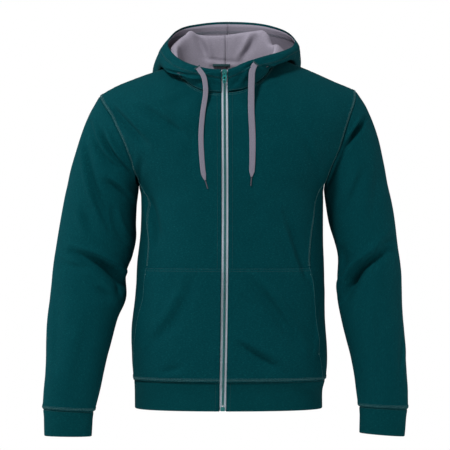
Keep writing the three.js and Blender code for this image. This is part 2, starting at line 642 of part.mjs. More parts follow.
function frontPanel(name, arm) {
  const { sign } = arm;
  const heights = bodyHeights(arm);
  const outer = [
    ...heights.map((z) => place({ turn: seamTurn(arm, z), z })),
    ...armFrontAngles.slice(0, -1).reverse().map((a) => place(armhole(arm, a))),
  ];
  const neck = neckAngles(sign).slice(0, STEPS.neck + 1).map((angle) => {
    const p = neckline(angle);
    return place({ turn: turnAt(p.x, p.z), z: p.z });
  });
  const tip = armhole(arm, 0);
  const from = neck[STEPS.neck];
  const shoulder = range(STEPS.shoulder).map((i) => [lerp(from[0], tip.turn, (i + 1) / STEPS.shoulder), 0]);
  const top = [...neck, ...shoulder];
  const topZ = heightAt(neck[0][0], neck[0][1]);
  const rows = outer.length - 1;
  const inner = range(rows + 1).map((i) => {
    const above = (i - STEPS.pocket) / (rows - STEPS.pocket);
    const z = i <= STEPS.pocket ? heights[i] : lerp(POCKET_TOP_Z, topZ, above);
    return place({ turn: turnAt(zipX(z) + sign * ZIP_HALF, z), z });
  });
  const columns = top.length - 1;
  const hemTurn = [inner[0][0], outer[0][0]];
  const bottom = hemLine(hemTurn[0], hemTurn[1], columns);
  const points = panelPoints(between(bottom, top, inner, outer));
  sheet(name, points, { flip: sign < 0, cut: { start: false } });
  return points;
}

function sidePanel(name, arm) {
  const { sign } = arm;
  const heights = bodyHeights(arm);
  const start = heights.map((z) => [seamTurn(arm, z), z]);
  const end = heights.map((z) => [backSeamTurn(arm, z), z]);
  const columns = STEPS.under;
  const top = armUnderAngles.map((a) => armhole(arm, a)).map(({ turn, z }) => [turn, z]);
  const bottom = range(columns + 1).map((j) => [lerp(start[0][0], end[0][0], j / columns), HEM_SEAM_Z]);
  const points = between(bottom, top, start, end).map((row) => row.map(([turn, z]) => body(turn, z)));
  sheet(name, points, { flip: sign < 0 });
}

function backPanel(name) {
  const edge = (arm) => [
    ...bodyHeights(arm).map((z) => place({ turn: backSeamTurn(arm, z), z })),
    ...armFrontAngles.slice(0, -1).reverse().map((a) => place(armhole(arm, 2 * Math.PI - a))),
  ].map(([turn, run]) => [arm.sign < 0 ? turn + 2 * Math.PI : turn, run]);
  const [start, end] = [edge(LEFT_ARM), edge(RIGHT_ARM)];
  const backTurn = (x, z) => Math.PI - turnAt(x, z);
  const half = STEPS.neck;
  const neck = range(2 * half + 1).map((i) => {
    const p = neckline(lerp(Math.PI / 2, 1.5 * Math.PI, i / (2 * half)));
    return place({ turn: backTurn(p.x, p.z), z: p.z });
  });
  const tips = [start, end].map((line) => line[line.length - 1][0]);
  const n = STEPS.shoulder;
  const top = [
    ...range(n).map((i) => [lerp(tips[0], neck[0][0], i / n), 0]),
    ...neck,
    ...range(n).map((i) => [lerp(neck[2 * half][0], tips[1], (i + 1) / n), 0]),
  ];
  const columns = top.length - 1;
  const bottom = hemLine(start[0][0], end[0][0], columns);
  sheet(name, panelPoints(between(bottom, top, start, end)), {});
}

// Sleeves
function sleeve(name, arm, rows, frontFolds, backFolds) {
  const indexed = look(rows.map((row, i) => ({ ...row, i })), 'i');
  const loop = armAngles.map((a) => {
    const { turn, z } = armhole(arm, a);
    return body(turn, z);
  });
  const ring = (at, angle) => {
    const value = (column) => indexed(column, at);
    const [cx, cz] = [(value('outX') + value('inX')) / 2, (value('outZ') + value('inZ')) / 2];
    const [ux, uz] = [(value('outX') - value('inX')) / 2, (value('outZ') - value('inZ')) / 2];
    const y = value('y') - value('depth') * Math.sin(angle);
    return vec(cx + ux * Math.cos(angle), y, cz + uz * Math.cos(angle));
  };
  const fade = 4; // rows over which the armhole's own shape dies away
  const points = range(STEPS.sleeve + 1).map((i) => {
    const at = (rows.length - 1) * (i / STEPS.sleeve);
    return armAngles.map((angle, k) => {
      const p = ring(at, angle);
      const keep = Math.max(0, 1 - at / fade) ** 2;
      p.add(loop[k].clone().sub(ring(0, angle)).multiplyScalar(keep));
      const folds = Math.sin(angle) > 0 ? frontFolds : backFolds;
      const faded = Math.min(1, at / 1.5) * Math.min(1, (rows.length - 1 - at) / 1.2);
      const depth = foldDepth(folds, p.x, p.z) * faded * Math.abs(Math.sin(angle));
      const middle = ring(at, 0).add(ring(at, Math.PI)).multiplyScalar(0.5);
      return p.addScaledVector(p.clone().sub(middle).normalize(), -depth);
    });
  });
  sheet(name, points, { flip: arm.sign < 0, tube: true });
  return points[points.length - 1];
}

function cuff(name, arm, seam, low) {
  const [cx, cz] = [(low.outX + low.inX) / 2, (low.outZ + low.inZ) / 2];
  const bottom = armAngles.map((angle) => vec(
    cx + (low.outX - low.inX) / 2 * Math.cos(angle),
    low.y - low.depth * Math.sin(angle),
    cz + (low.outZ - low.inZ) / 2 * Math.cos(angle),
  ));
  const heart = seam.reduce((sum, p) => sum.add(p), vec(0, 0, 0)).divideScalar(seam.length);
  const tuck = [0.965, 0.95, 0.955, 0.96];
  const points = range(STEPS.cuff + 1).map((i) => {
    const t = i / STEPS.cuff;
    return seam.map((p, k) => {
      const top = heart.clone().lerp(p, tuck[i]);
      const own = bottom[k].clone();
      return top.lerp(own, t);
    });
  });
  const cut = { first: SEAM, last: false };
  return { name, points, flip: arm.sign < 0, tube: true, thick: BAND, cut, tint: TEAL };
}

const frontRight = frontPanel('front_right', RIGHT_ARM);
const frontLeft = frontPanel('front_left', LEFT_ARM);
sidePanel('side_panel_right', RIGHT_ARM);
sidePanel('side_panel_left', LEFT_ARM);
backPanel('back');
const mirrored = (folds) => folds.map((f) => ({
  ...f,
  from: [-f.from[0], f.from[1]],
  via: [-f.via[0], f.via[1]],
  to: [-f.to[0], f.to[1]],
}));
const panels = sheets.splice(0);
const RIGHT_BACK_FOLDS = mirrored(SLEEVE_BACK_FOLDS);
const rightEnd = sleeve('sleeve_right', RIGHT_ARM, RIGHT_SLEEVE, RIGHT_SLEEVE_FOLDS, RIGHT_BACK_FOLDS);
const leftEnd = sleeve('sleeve_left', LEFT_ARM, LEFT_SLEEVE, LEFT_SLEEVE_FOLDS, SLEEVE_BACK_FOLDS);
const sleeves = sheets.splice(0);
addWalls(panels, 0, sleeves);
addWalls(sleeves, 0, panels, UNDERARM_APART);
addWalls([
  cuff('cuff_right', RIGHT_ARM, rightEnd, RIGHT_CUFF),
  cuff('cuff_left', LEFT_ARM, leftEnd, LEFT_CUFF),
]);

// Hem band, from one side of the zip round the back to the other
function hemPoints() {
  const columns = 44;
  const rows = STEPS.hem;
  const inset = 1.2;
  return range(rows + 1).map((i) => {
    const z = lerp(HEM_SEAM_Z - SEAM, HEM_Z, i / rows);
    const from = turnAt(zipX(z) + ZIP_HALF, z);
    const to = turnAt(zipX(z) - ZIP_HALF, z) + 2 * Math.PI;
    return range(columns + 1).map((j) => {
      const turn = lerp(from, to, j / columns);
      const p = bareBody(turn, z);
      return p.addScaledVector(surfaceNormal(bareBody, turn, z, 0.01, 1), -inset);
    });
  });
}
const hemBand = {
  name: 'hem_band',
  points: hemPoints(),
  flip: true,
  thick: BAND,
  cut: { first: false, last: false, start: false, end: false },
  tint: TEAL,
};
addWalls([hemBand]);

// Pockets: patches that lie on the fronts, open along the side panel seam
function pocket(name, front, sign) {
  const points = front.slice(0, STEPS.pocket + 1);
  return { name, points, flip: sign < 0, tube: false, thick: KNIT, cut: { start: 1.5 }, tint: TEAL };
}
addWalls([pocket('pocket_right', frontRight, -1)], KNIT + SEAM);
addWalls([pocket('pocket_left', frontLeft, 1)], KNIT + SEAM);

// Hood
const rim = (turn) => vec(rimLine('x', turn), rimLine('y', turn), rimLine('z', turn));

// One section of the hood, from the neck seam to the edge. Its knots are the seam, the rise, the
// inner ridge, over the ridge, the pouch's inner side, its bottom, its bulge, its wall, the edge.
function hoodSection(angle, seam = neckline(angle)) {
  const turn = THREE.MathUtils.radToDeg(angle);
  const value = (column) => hoodRows[angle < 0 ? 'right' : 'left'](column, Math.abs(turn));
  const reach = Math.cos(angle) > 0 ? NECK.front : 1.6 * NECK.back;
  const out = vec(NECK.half * Math.sin(angle), -reach * Math.cos(angle), 0).normalize();
  const at = (away, up) => seam.clone().addScaledVector(out, away).setZ(seam.z + up);
  const edge = rim(turn);
  const low = clearOf(at(value('lowOut'), value('lowUp')), HOOD_CLEAR);
  const bulge = low.clone()
    .addScaledVector(out, value('bulgeOut') - value('lowOut'))
    .setZ(low.z + value('bulgeUp') - value('lowUp'));
  const ridgeTop = at(value('ridgeOut'), value('ridgeUp'));
  const deep = clamp((value('ridgeUp') - value('lowUp') - 10) / 40, 0, 1);
  const steep = ridgeTop.clone().addScaledVector(out, 8).setZ(ridgeTop.z - 4);
  const over = ridgeTop.clone().lerp(low, 0.36).lerp(steep, deep);
  const inside = over.clone().lerp(low, 0.5).addScaledVector(out, -6 * deep);
  const lifted = seam.clone().setZ(seam.z + 0.8);
  const rise = lifted.clone().lerp(ridgeTop, 0.5).addScaledVector(out, -1.5 * deep);
  const wall = bulge.clone().lerp(edge, 0.5).addScaledVector(out, 3 + 5 * deep);
  const free = [over, inside, low, bulge, wall].map((p) => clearOf(p, HOOD_CLEAR));
  return new THREE.CatmullRomCurve3([lifted, rise, ridgeTop, ...free, edge], false, 'centripetal');
}
const HOOD_STEPS = [0, 0.5, 1, 1.5, 2, 2.5, 3, 3.33, 3.67, 4, 4.33, 4.67, 5, 5.5, 6, 6.5, 7, 8];

function hoodPoints(sign) {
  const angles = neckAngles(sign);
  const columns = 2 * (angles.length - 1);
  return HOOD_STEPS.map((step) => range(columns + 1).map((j) => {
    const [a, b] = [angles[Math.floor(j / 2)], angles[Math.ceil(j / 2)]];
    const seam = neckline(a).lerp(neckline(b), 0.5);
    const curve = hoodSection((a + b) / 2, seam).getPoint(step / 8);
    const point = step <= 2.5 ? curve : clearOf(curve, HOOD_CLEAR * 0.8);
    if (j === 0) point.x = zipX(point.z) + sign * ZIP_HALF;
    return point;
  }));
}
const hoodHalf = (name, sign, thick, tint, cut) => ({
  name, points: hoodPoints(sign), flip: sign < 0, tube: false, thick, cut, tint,
});
addWalls([
  hoodHalf('hood_right', -1, HOOD_KNIT, TEAL, { first: false, start: false, last: false }),
  hoodHalf('hood_left', 1, HOOD_KNIT, TEAL, { first: false, start: false, last: false }),
]);
addWalls([
  hoodHalf('hood_lining_right', -1, LINING, GREY, { first: 1, start: 0.6, last: 1.2 }),
  hoodHalf('hood_lining_left', 1, LINING, GREY, { first: 1, start: 0.6, last: 1.2 }),
], -(HOOD_KNIT + SEAM));

// Zip: it follows the fronts' edges row by row
const neckZ = neckline(0).z;
const zipRows = [
  ...hemBand.points.map((row) => ({ z: row[0].z, y: row[0].y, set: BAND + 0.9 })),
  ...frontLeft.slice(1).map((row) => ({ z: row[0].z, y: row[0].y, set: TAPE_SET })),
  { z: ZIP_TOP_Z, y: rim(0).y, set: TAPE_SET },
];
const zipPlace = look(zipRows, 'z', true);
const zipFace = (z) => zipPlace('y', z);

// A strip of the zip between two heights, set behind the cloth's face
function strip(name, side, from, reach, bottom, top, forward, thick, tint) {
  const between = zipRows.map(({ z }) => z).filter((z) => z > bottom + 1 && z < top - 1);
  const heights = [bottom, ...between.sort((a, b) => a - b), top];
  const points = heights.map((z) => [from, reach(z)].map((away) => vec(
    zipX(z) + side * away,
    zipFace(z) + zipPlace('set', z) - forward,
    z,
  )));
  const inner = points.map((row) => row.map((p) => p.clone().setY(p.y + thick)));
  add(name, closedWall(points, inner, side < 0, false), tint, 0.6);
}
const tapeReach = (z) => lerp(TAPE_HALF, ZIP_HALF - SEAM, clamp((z - neckZ + 34) / 14, 0, 1));
strip('zip_tape_right', -1, 0.3, tapeReach, HEM_Z + 1, ZIP_TOP_Z, 0, TAPE, SILVER);
strip('zip_tape_left', 1, 0.3, tapeReach, HEM_Z + 1, ZIP_TOP_Z, 0, TAPE, SILVER);

const SLIDER = { z: -28, half: 4.8, tall: 14, thick: 4.3, proud: 1.8 };
const BOX = { half: 3.9, tall: 8, thick: 2.8 };
strip('zip_chain', 1, -CHAIN_HALF, () => CHAIN_HALF, HEM_Z + BOX.tall + 0.5 + SEAM,
  SLIDER.z - SLIDER.tall / 2 - SEAM, SEAM + CHAIN, CHAIN, ZIP_TEAL);

const manifoldOf = (geometry) => {
  const bare = geometry.clone();
  bare.deleteAttribute('normal');
  bare.deleteAttribute('uv');
  const merged = mergeVertices(bare, 1e-4);
  return new wasm.Manifold(new wasm.Mesh({
    numProp: 3,
    vertProperties: new Float32Array(merged.attributes.position.array),
    triVerts: new Uint32Array(merged.index.array),
  }));
};
const geometryOf = (solid) => {
  const { vertProperties, triVerts } = solid.getMesh();
  const geometry = new THREE.BufferGeometry();
  geometry.setAttribute('position', new THREE.BufferAttribute(vertProperties, 3));
  geometry.setIndex(new THREE.BufferAttribute(triVerts, 1));
  geometry.computeVertexNormals();
  return geometry;
};

// A plate drawn in X and Z, from its front face back along +Y
function plate(outline, front, thick) {
  const shape = new THREE.Shape(outline.map(([x, z]) => new THREE.Vector2(x, z)));
  const geometry = new THREE.ExtrudeGeometry(shape, { depth: thick, bevelEnabled: false });
  geometry.rotateX(Math.PI / 2);
  geometry.translate(0, front + thick, 0);
  return geometry;
}
const oval = (halfX, halfZ, x, z, n) => range(n).map((i) => {
  const a = 2 * Math.PI * i / n;
  return [x + halfX * Math.cos(a), z + halfZ * Math.sin(a)];
});

const zipPlaneY = zipFace(SLIDER.z);
const PULL = { half: 4.2, long: 14, thick: 1.2, bar: 0.65, eyeHalf: 1.7, eyeLong: 3.6, axisOut: 1.35 };
const LUG = { half: 1.1, inner: 1.25, outer: 2.3 };
function slider() {
  const { half, tall } = SLIDER;
  const outline = [
    [-half * 0.72, -tall / 2], [half * 0.72, -tall / 2], [half * 0.95, 0], [half, tall * 0.3],
    [half * 0.7, tall / 2], [-half * 0.7, tall / 2], [-half, tall * 0.3], [-half * 0.95, 0],
  ];
  const front = zipPlaneY - SLIDER.proud;
  let solid = manifoldOf(plate(outline, front, SLIDER.thick));
  const sides = 14;
  const turns = range(sides + 1).map((i) => Math.PI * i / sides);
  const arc = (r) => turns.map((a) => [r * Math.cos(a), r * Math.sin(a)]);
  const lug = new THREE.Shape([
    [LUG.outer, -PULL.axisOut - 0.4], ...arc(LUG.outer), [-LUG.outer, -PULL.axisOut - 0.4],
    [-LUG.inner, -PULL.axisOut - 0.4], ...arc(LUG.inner).reverse(), [LUG.inner, -PULL.axisOut - 0.4],
  ].map(([a, b]) => new THREE.Vector2(a, b)));
  const bridge = new THREE.ExtrudeGeometry(lug, { depth: 2 * LUG.half, bevelEnabled: false });
  bridge.translate(0, 0, -LUG.half);
  // The lug's outline lies in the plane of Z (its width) and -Y (its height)
  bridge.applyMatrix4(new THREE.Matrix4().makeBasis(vec(0, 0, 1), vec(0, -1, 0), vec(1, 0, 0)));
  bridge.translate(0, front - PULL.axisOut, 0);
  solid = solid.add(manifoldOf(bridge));
  const mesh = add('zip_slider', geometryOf(solid), ZIP_TEAL, 0.45);
  mesh.position.set(zipX(SLIDER.z), 0, SLIDER.z);
}
slider();

function pullTab() {
  const { half, long, thick, bar, eyeHalf, eyeLong } = PULL;
  const outline = [
    [half * 0.75, bar], [-half * 0.75, bar], [-half * 0.8, -eyeLong], [-half, -long * 0.55],
    [-half, -long * 0.8], [-half * 0.55, -long], [half * 0.55, -long], [half, -long * 0.8],
    [half, -long * 0.55], [half * 0.8, -eyeLong],
  ];
  const eye = [[-eyeHalf, -bar], [eyeHalf, -bar], [eyeHalf, -eyeLong], [-eyeHalf, -eyeLong]];
  const ring = oval(half * 0.56, long * 0.17, 0, -long * 0.68, 12);
  const front = zipPlaneY - SLIDER.proud - PULL.axisOut - thick / 2;
  const through = (hole) => manifoldOf(plate(hole, front - 1, thick + 2));
  const solid = manifoldOf(plate(outline, front, thick)).subtract(through(eye)).subtract(through(ring));
  const mesh = add('pull_tab', geometryOf(solid), ZIP_TEAL, 0.45);
  mesh.position.set(zipX(SLIDER.z), 0, SLIDER.z);
}
pullTab();

function insertionBox() {
  const outline = [[-BOX.half, 0], [BOX.half, 0], [BOX.half, BOX.tall - 1], [BOX.half - 1, BOX.tall],
    [1 - BOX.half, BOX.tall], [-BOX.half, BOX.tall - 1]];
  const mesh = add('zip_box', plate(outline, 0, BOX.thick), ZIP_TEAL, 0.45);
  const z = HEM_Z + 0.5;
  mesh.position.set(zipX(z), zipFace(z) + BAND + 0.9 - 2 * SEAM - BOX.thick, z);
}
insertionBox();

// Drawcord ends: flat braids that come out of the hood's casing and hang on the chest
function hoodFace(x, z) {
  const found = { y: Infinity };
  const angle = (x < 0 ? -1 : 1) * Math.asin(power(clamp(Math.abs(x) / NECK.half, 0, 1), NECK.square / 2));
  for (const share of range(9)) {
    const section = hoodSection(angle * lerp(0.7, 1.15, share / 8));
    for (const p of section.getPoints(40)) {
      const near = Math.hypot(p.x - x, p.z - z) < 6;
      if (near && p.y < found.y) found.y = p.y;
    }
  }
  return found.y;
}

function drawcord(name, tipName, rows) {
  const line = new THREE.CatmullRomCurve3(rows.map(({ x, z }) => vec(x, 0, z)), false, 'centripetal');
  const halves = look(rows.map(({ half }, i) => ({ at: i, half })), 'at');
  const centres = range(STEPS.cord + 1).map((i) => {
    const p = line.getPoint(i / STEPS.cord);
    const trunkY = p.z < -45 ? body(turnAt(p.x, p.z), p.z).y : Infinity;
    const hoodY = p.z > -75 ? hoodFace(p.x, p.z) : Infinity;
    return p.setY(Math.min(trunkY, hoodY) - CORD.clear - CORD.thick / 2);
  });
  // The braid hangs straight wherever the cloth behind it falls back
  const hanging = centres.map((p, i) => {
    let y = p.y;
    for (const a of centres.slice(0, i)) {
      for (const b of centres.slice(i + 1)) {
        y = Math.min(y, lerp(a.y, b.y, (a.z - p.z) / (a.z - b.z)));
      }
    }
    return p.clone().setY(y);
  });
  const points = hanging.map((centre, i) => {
    const before = hanging[Math.max(0, i - 1)];
    const after = hanging[Math.min(STEPS.cord, i + 1)];
    const along = after.clone().sub(before).normalize();
    const side = vec(1, 0, 0).addScaledVector(along, -along.x).normalize();
    const front = side.clone().cross(along).normalize();
    const half = halves('half', i / STEPS.cord * (rows.length - 1));
    return range(STEPS.cordRing).map((k) => {
      const angle = 2 * Math.PI * (k + 0.5) / STEPS.cordRing;
      return centre.clone()
        .addScaledVector(side, half * power(Math.cos(angle), 0.4))
        .addScaledVector(front, -CORD.thick / 2 * power(Math.sin(angle), 0.6));
    });
  });
  add(name, loft(points), GREY);
  const end = hanging[STEPS.cord];
  const down = end.clone().sub(hanging[STEPS.cord - 1]).normalize();
  const tip = new THREE.CylinderGeometry(TIP.radius, TIP.radius * 0.9, TIP.length, 10);
  tip.rotateX(Math.PI / 2);
  const mesh = add(tipName, tip, GREY, 0.5);
  mesh.quaternion.setFromUnitVectors(vec(0, 0, -1), down);
  mesh.position.copy(end).addScaledVector(down, TIP.length / 2 + SEAM);
}

// A solid through closed rings, capped at both ends
function loft(rings) {
  const sides = rings[0].length;
  const flat = rings.flat();
  const triangles = [];
  for (const i of range(rings.length - 1)) {
    for (const k of range(sides)) {
      const [a, b] = [i * sides + k, i * sides + (k + 1) % sides];
      triangles.push(a, b, b + sides, a, b + sides, a + sides);
    }
  }
  const last = (rings.length - 1) * sides;
  for (const k of range(sides - 2)) triangles.push(0, k + 2, k + 1, last, last + k + 1, last + k + 2);
  const geometry = new THREE.BufferGeometry();
  const positions = flat.flatMap((p) => [p.x, p.y, p.z]);
  geometry.setAttribute('position', new THREE.Float32BufferAttribute(positions, 3));
  geometry.setIndex(triangles);
  geometry.computeVertexNormals();
  return geometry;
}
drawcord('drawcord_right', 'cord_tip_right', CORD_RIGHT);
drawcord('drawcord_left', 'cord_tip_left', CORD_LEFT);

// Hanger loop inside the back of the neck: a tape sewn down at its ends and bowed out between them
const hangerSeat = neckline(Math.PI).y - HOOD_KNIT - LINING - 4 * SEAM - HANGER.thick;
const hangerFront = range(HANGER.steps + 1).map((i) => {
  const t = i / HANGER.steps;
  const y = hangerSeat - HANGER.lean * (1 - t) - HANGER.bow * Math.sin(Math.PI * t);
  return [-1, 1].map((side) => vec(lerp(HANGER.from, HANGER.to, t), y, HANGER.z + side * HANGER.tall / 2));
});
const hangerBack = hangerFront.map((row) => row.map((p) => p.clone().setY(p.y + HANGER.thick)));
add('hanger_loop', closedWall(hangerFront, hangerBack, true, false), TEAL);

export default garment;
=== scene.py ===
# %% [markdown]
# A zip-up hooded sweatshirt in its worn shape, with the hood down and nobody in it. The packed
# part gives rigid panels. This lesson lays finer cloth on them: creases, sewn seams, stitches, a
# zip with teeth, knit with heather, and flat drawcords. Sizes are worked out in millimetres and
# become metres when a mesh is made. Left and right are the wearer's; the front faces -Y.

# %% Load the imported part
import bpy
import math
import numpy as np
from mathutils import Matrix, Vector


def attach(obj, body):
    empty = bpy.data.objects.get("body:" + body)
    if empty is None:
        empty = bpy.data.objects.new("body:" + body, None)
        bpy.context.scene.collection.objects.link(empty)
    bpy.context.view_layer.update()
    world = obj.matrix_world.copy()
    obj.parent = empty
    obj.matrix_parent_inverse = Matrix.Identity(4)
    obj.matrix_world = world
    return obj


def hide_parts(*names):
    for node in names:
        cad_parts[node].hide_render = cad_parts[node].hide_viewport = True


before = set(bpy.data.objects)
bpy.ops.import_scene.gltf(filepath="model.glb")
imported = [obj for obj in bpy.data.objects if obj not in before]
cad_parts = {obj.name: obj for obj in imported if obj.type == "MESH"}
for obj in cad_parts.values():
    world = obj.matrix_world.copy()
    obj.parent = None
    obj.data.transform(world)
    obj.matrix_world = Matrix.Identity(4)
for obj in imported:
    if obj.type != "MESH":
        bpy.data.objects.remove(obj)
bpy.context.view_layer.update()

# %% [markdown]
# The camera stands five metres in front, level with the middle of the garment, with a long lens,
# as a catalogue photograph is taken. The light is soft: a white room, a large lamp in front and
# above, and one at each side that draws a pale line along the sleeves. A picture could light the
# scene too, but lamps keep it in this file and can be moved one by one.

# %% Camera, light and floor
MM = 0.001
CAMERA = {"x": -1.95, "z": -318.0, "away": 5000.0, "across": 877.5, "sensor": 36.0}
WHITE = (1.0, 1.0, 1.0, 1.0)


def put_in_scene(name, data):
    """An object for a mesh, lamp or camera, linked so that it is seen."""
    thing = bpy.data.objects.new(name, data)
    bpy.context.scene.collection.objects.link(thing)
    return thing


def make_camera():
    data = bpy.data.cameras.new("camera")
    data.sensor_width = CAMERA["sensor"]
    data.lens = CAMERA["sensor"] * CAMERA["away"] / CAMERA["across"]
    data.clip_end = 50.0
    eye = put_in_scene("camera", data)
    eye.location = (CAMERA["x"] * MM, -CAMERA["away"] * MM, CAMERA["z"] * MM)
    eye.rotation_euler = (math.pi / 2, 0.0, 0.0)
    bpy.context.scene.camera = eye


LAMPS = {
    "key": {"at": (-1.5, -2.3, 2.6), "size": 0.7, "power": 134.0},
    "fill": {"at": (2.5, -2.4, 0.2), "size": 2.0, "power": 26.0},
    "top": {"at": (0.1, 0.6, 2.6), "size": 1.2, "power": 12.0},
    "left_rim": {"at": (-2.4, 0.2, 0.3), "size": 1.0, "power": 34.0},
    "right_rim": {"at": (2.4, 0.5, 0.2), "size": 1.0, "power": 16.0},
}
LAMP_AIM = (0.0, 0.0, -0.3)


def make_lamps():
    for name, lamp in LAMPS.items():
        data = bpy.data.lights.new(name, "AREA")
        data.shape = "DISK"
        data.size = lamp["size"]
        data.energy = lamp["power"]
        light = put_in_scene(name, data)
        light.location = lamp["at"]
        aim = Vector(LAMP_AIM) - light.location
        light.rotation_euler = aim.to_track_quat("-Z", "Y").to_euler()


def make_world(strength=0.25):
    """A white backdrop for the eye, and a softer white room for the light that it gives."""
    world = bpy.data.worlds.new("white_room")
    world.use_nodes = True
    nodes, links = world.node_tree.nodes, world.node_tree.links
    room = nodes["Background"]
    room.inputs["Color"].default_value = WHITE
    room.inputs["Strength"].default_value = strength
    backdrop = nodes.new("ShaderNodeBackground")
    backdrop.inputs["Color"].default_value = WHITE
    seen, pick = nodes.new("ShaderNodeLightPath"), nodes.new("ShaderNodeMixShader")
    links.new(seen.outputs["Is Camera Ray"], pick.inputs[0])
    links.new(room.outputs[0], pick.inputs[1])
    links.new(backdrop.outputs[0], pick.inputs[2])
    links.new(pick.outputs[0], nodes["World Output"].inputs["Surface"])
    bpy.context.scene.world = world


def make_floor(z=-1.05, radius=2.6, sides=96):
    turns = [2 * math.pi * i / sides for i in range(sides)]
    ring = [(radius * math.cos(a), radius * math.sin(a), z) for a in turns]
    mesh = bpy.data.meshes.new("floor")
    mesh.from_pydata(ring, [], [list(range(sides))])
    pale = bpy.data.materials.new("pale_floor")
    pale.use_nodes = True
    shader = pale.node_tree.nodes["Principled BSDF"]
    shader.inputs["Base Color"].default_value = (0.9, 0.9, 0.9, 1.0)
    shader.inputs["Roughness"].default_value = 0.8
    mesh.materials.append(pale)
    put_in_scene("floor", mesh)


make_camera()
make_lamps()
make_world()
make_floor()
bpy.context.scene.view_settings.view_transform = "Standard"
print("camera lens:", round(bpy.context.scene.camera.data.lens, 1), "mm")

# %% [markdown]
# A pattern cutter knows a garment by its measurements at a few heights. These tables hold them,
# and a smooth curve runs through each column. A sculpted mesh could give the same shape, but no
# measurement could then be changed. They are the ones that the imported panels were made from, so
# the cloth lands on them.

# %% Measurements
KNIT, BAND, HOOD_KNIT, LINING, SEAM = 2.0, 2.5, 1.8, 1.4, 0.3
HOOD_CLEAR, ZIP_HALF, TAPE_SET = 6.0, 6.3, 3.1
HEM_SEAM_Z, HEM_Z, ZIP_TOP_Z, POCKET_TOP_Z = -618.0, -674.0, -20.0, -400.0
NECK = {"half": 97.0, "front": 110.0, "back": 60.0, "square": 2.7}
SQUARE, ROUND, RIDGE_Y = 2.4, 1.9, 5.0
ARCH = {"front": 118.0, "back": 96.0}
ARCH_RUN = {"front": 178.0, "back": 158.0}
BACK_SEAM_TURN = math.radians(112.0)


def table(columns, *rows):
    """Named columns from rows of numbers."""
    return {name: np.array(values, float) for name, values in zip(columns.split(), zip(*rows))}


TRUNK = table(
    "z centre half front back",
    (40, 2, 312, 104, 98),
    (-67, 3, 288, 126, 110),
    (-108, 5, 264, 133, 114),
    (-140, 6, 246, 137, 117),
    (-178, 8, 225, 141, 119),
    (-220, 10, 196, 142, 118),
    (-245, 10.5, 180.5, 141, 117),
    (-264, 12, 177, 140, 116),
    (-324, 11.5, 177.5, 136, 112),
    (-386, 9, 182, 131, 108),
    (-449, 8, 185, 127, 108),
    (-511, 5, 188, 124, 111),
    (-573, 7, 190, 122, 114),
    (-618, 7, 187, 117, 111),
    (-640, 5, 184, 113, 108),
    (-674, 5, 184, 114, 108),
)
RIDGE = table(
    "x z",
    (-300, -108),
    (-247, -67),
    (-208, -45),
    (-134, -18),
    (-94, -8),
    (0, 0),
    (94, 7),
    (138, -7),
    (205, -36),
    (252, -56),
    (300, -86),
)
ZIP_LINE = table("z x", (0, -3), (-300, -2), (-500, -3.5), (-674, -6.5))
ARM_SHARE = table(
    "rise right left",
    (0, 1, 1),
    (20, 0.955, 0.97),
    (45, 0.905, 0.94),
    (80, 0.868, 0.92),
    (120, 0.863, 0.9),
    (190, 0.868, 0.862),
)
SIDE_SEAM = table(
    "z right left",
    (-290, 0.93, 0.905),
    (-345, 0.9, 0.862),
    (-386, 0.893, 0.845),
    (-431, 0.902, 0.862),
    (-501, 0.925, 0.89),
    (-577, 0.972, 0.925),
    (-618, 0.985, 0.955),
)
print("trunk measured at", len(TRUNK["z"]), "heights")

# %% [markdown]
# A curve through the rows of a table gives each measurement at any height between them.

# %% Curves through the measurements


def through(rows, key):
    """A smooth curve through a table's rows: through(table, key)(column, place)."""
    order = np.argsort(rows[key])
    at = rows[key][order]

    def value(column, place):
        v = rows[column][order]
        slope = np.empty_like(v)
        slope[1:-1] = (v[2:] - v[:-2]) / (at[2:] - at[:-2])
        slope[0] = (v[1] - v[0]) / (at[1] - at[0])
        slope[-1] = (v[-1] - v[-2]) / (at[-1] - at[-2])
        p = np.clip(np.asarray(place, float), at[0], at[-1])
        i = np.clip(np.searchsorted(at, p, side="left") - 1, 0, len(at) - 2)
        span = at[i + 1] - at[i]
        t = (p - at[i]) / span
        return (
            (2 * t**3 - 3 * t**2 + 1) * v[i]
            + (t**3 - 2 * t**2 + t) * slope[i] * span
            + (3 * t**2 - 2 * t**3) * v[i + 1]
            + (t**3 - t**2) * slope[i + 1] * span
        )

    return value


trunk, ridge, zip_line = through(TRUNK, "z"), through(RIDGE, "x"), through(ZIP_LINE, "z")
arm_share, side_seam = through(ARM_SHARE, "rise"), through(SIDE_SEAM, "z")


def ridge_z(x):
    return ridge("z", x)


def zip_x(z):
    return zip_line("x", z)


def power(v, p):
    return np.sign(v) * np.abs(v) ** p


def mix(a, b, t):
    return a + (b - a) * t


def vec(*parts):
    """Points from their coordinates, which may be arrays or single numbers."""
    return np.stack(np.broadcast_arrays(*parts), axis=-1).astype(float)


def unit(v):
    return v / np.maximum(np.linalg.norm(v, axis=-1, keepdims=True), 1e-12)


def bell(d, wide):
    """1 where d is 0, fading to nothing on both sides within about two widths."""
    return np.exp(-((d / wide) ** 2))


def step_up(a, b, v):
    """0 up to a, 1 from b on, and a soft rise between."""
    t = np.clip((v - a) / (b - a), 0, 1)
    return t * t * (3 - 2 * t)


print("half width at the hem:", float(trunk("half", HEM_SEAM_Z)), "mm")

# %% [markdown]
# The trunk is a squared oval at every height. Above the chest it arches over to the shoulder
# line, so that the front and the back meet there as one smooth cap. It could be a cylinder pushed
# about by hand. A formula is used, so that a panel's edge can be found on it exactly.

# %% Trunk


def face_value(turn, name):
    return np.where(np.cos(turn) > 0, name["front"], name["back"])


def trunk_x(turn, z):
    return trunk("centre", z) + trunk("half", z) * power(np.sin(turn), 2 / SQUARE)


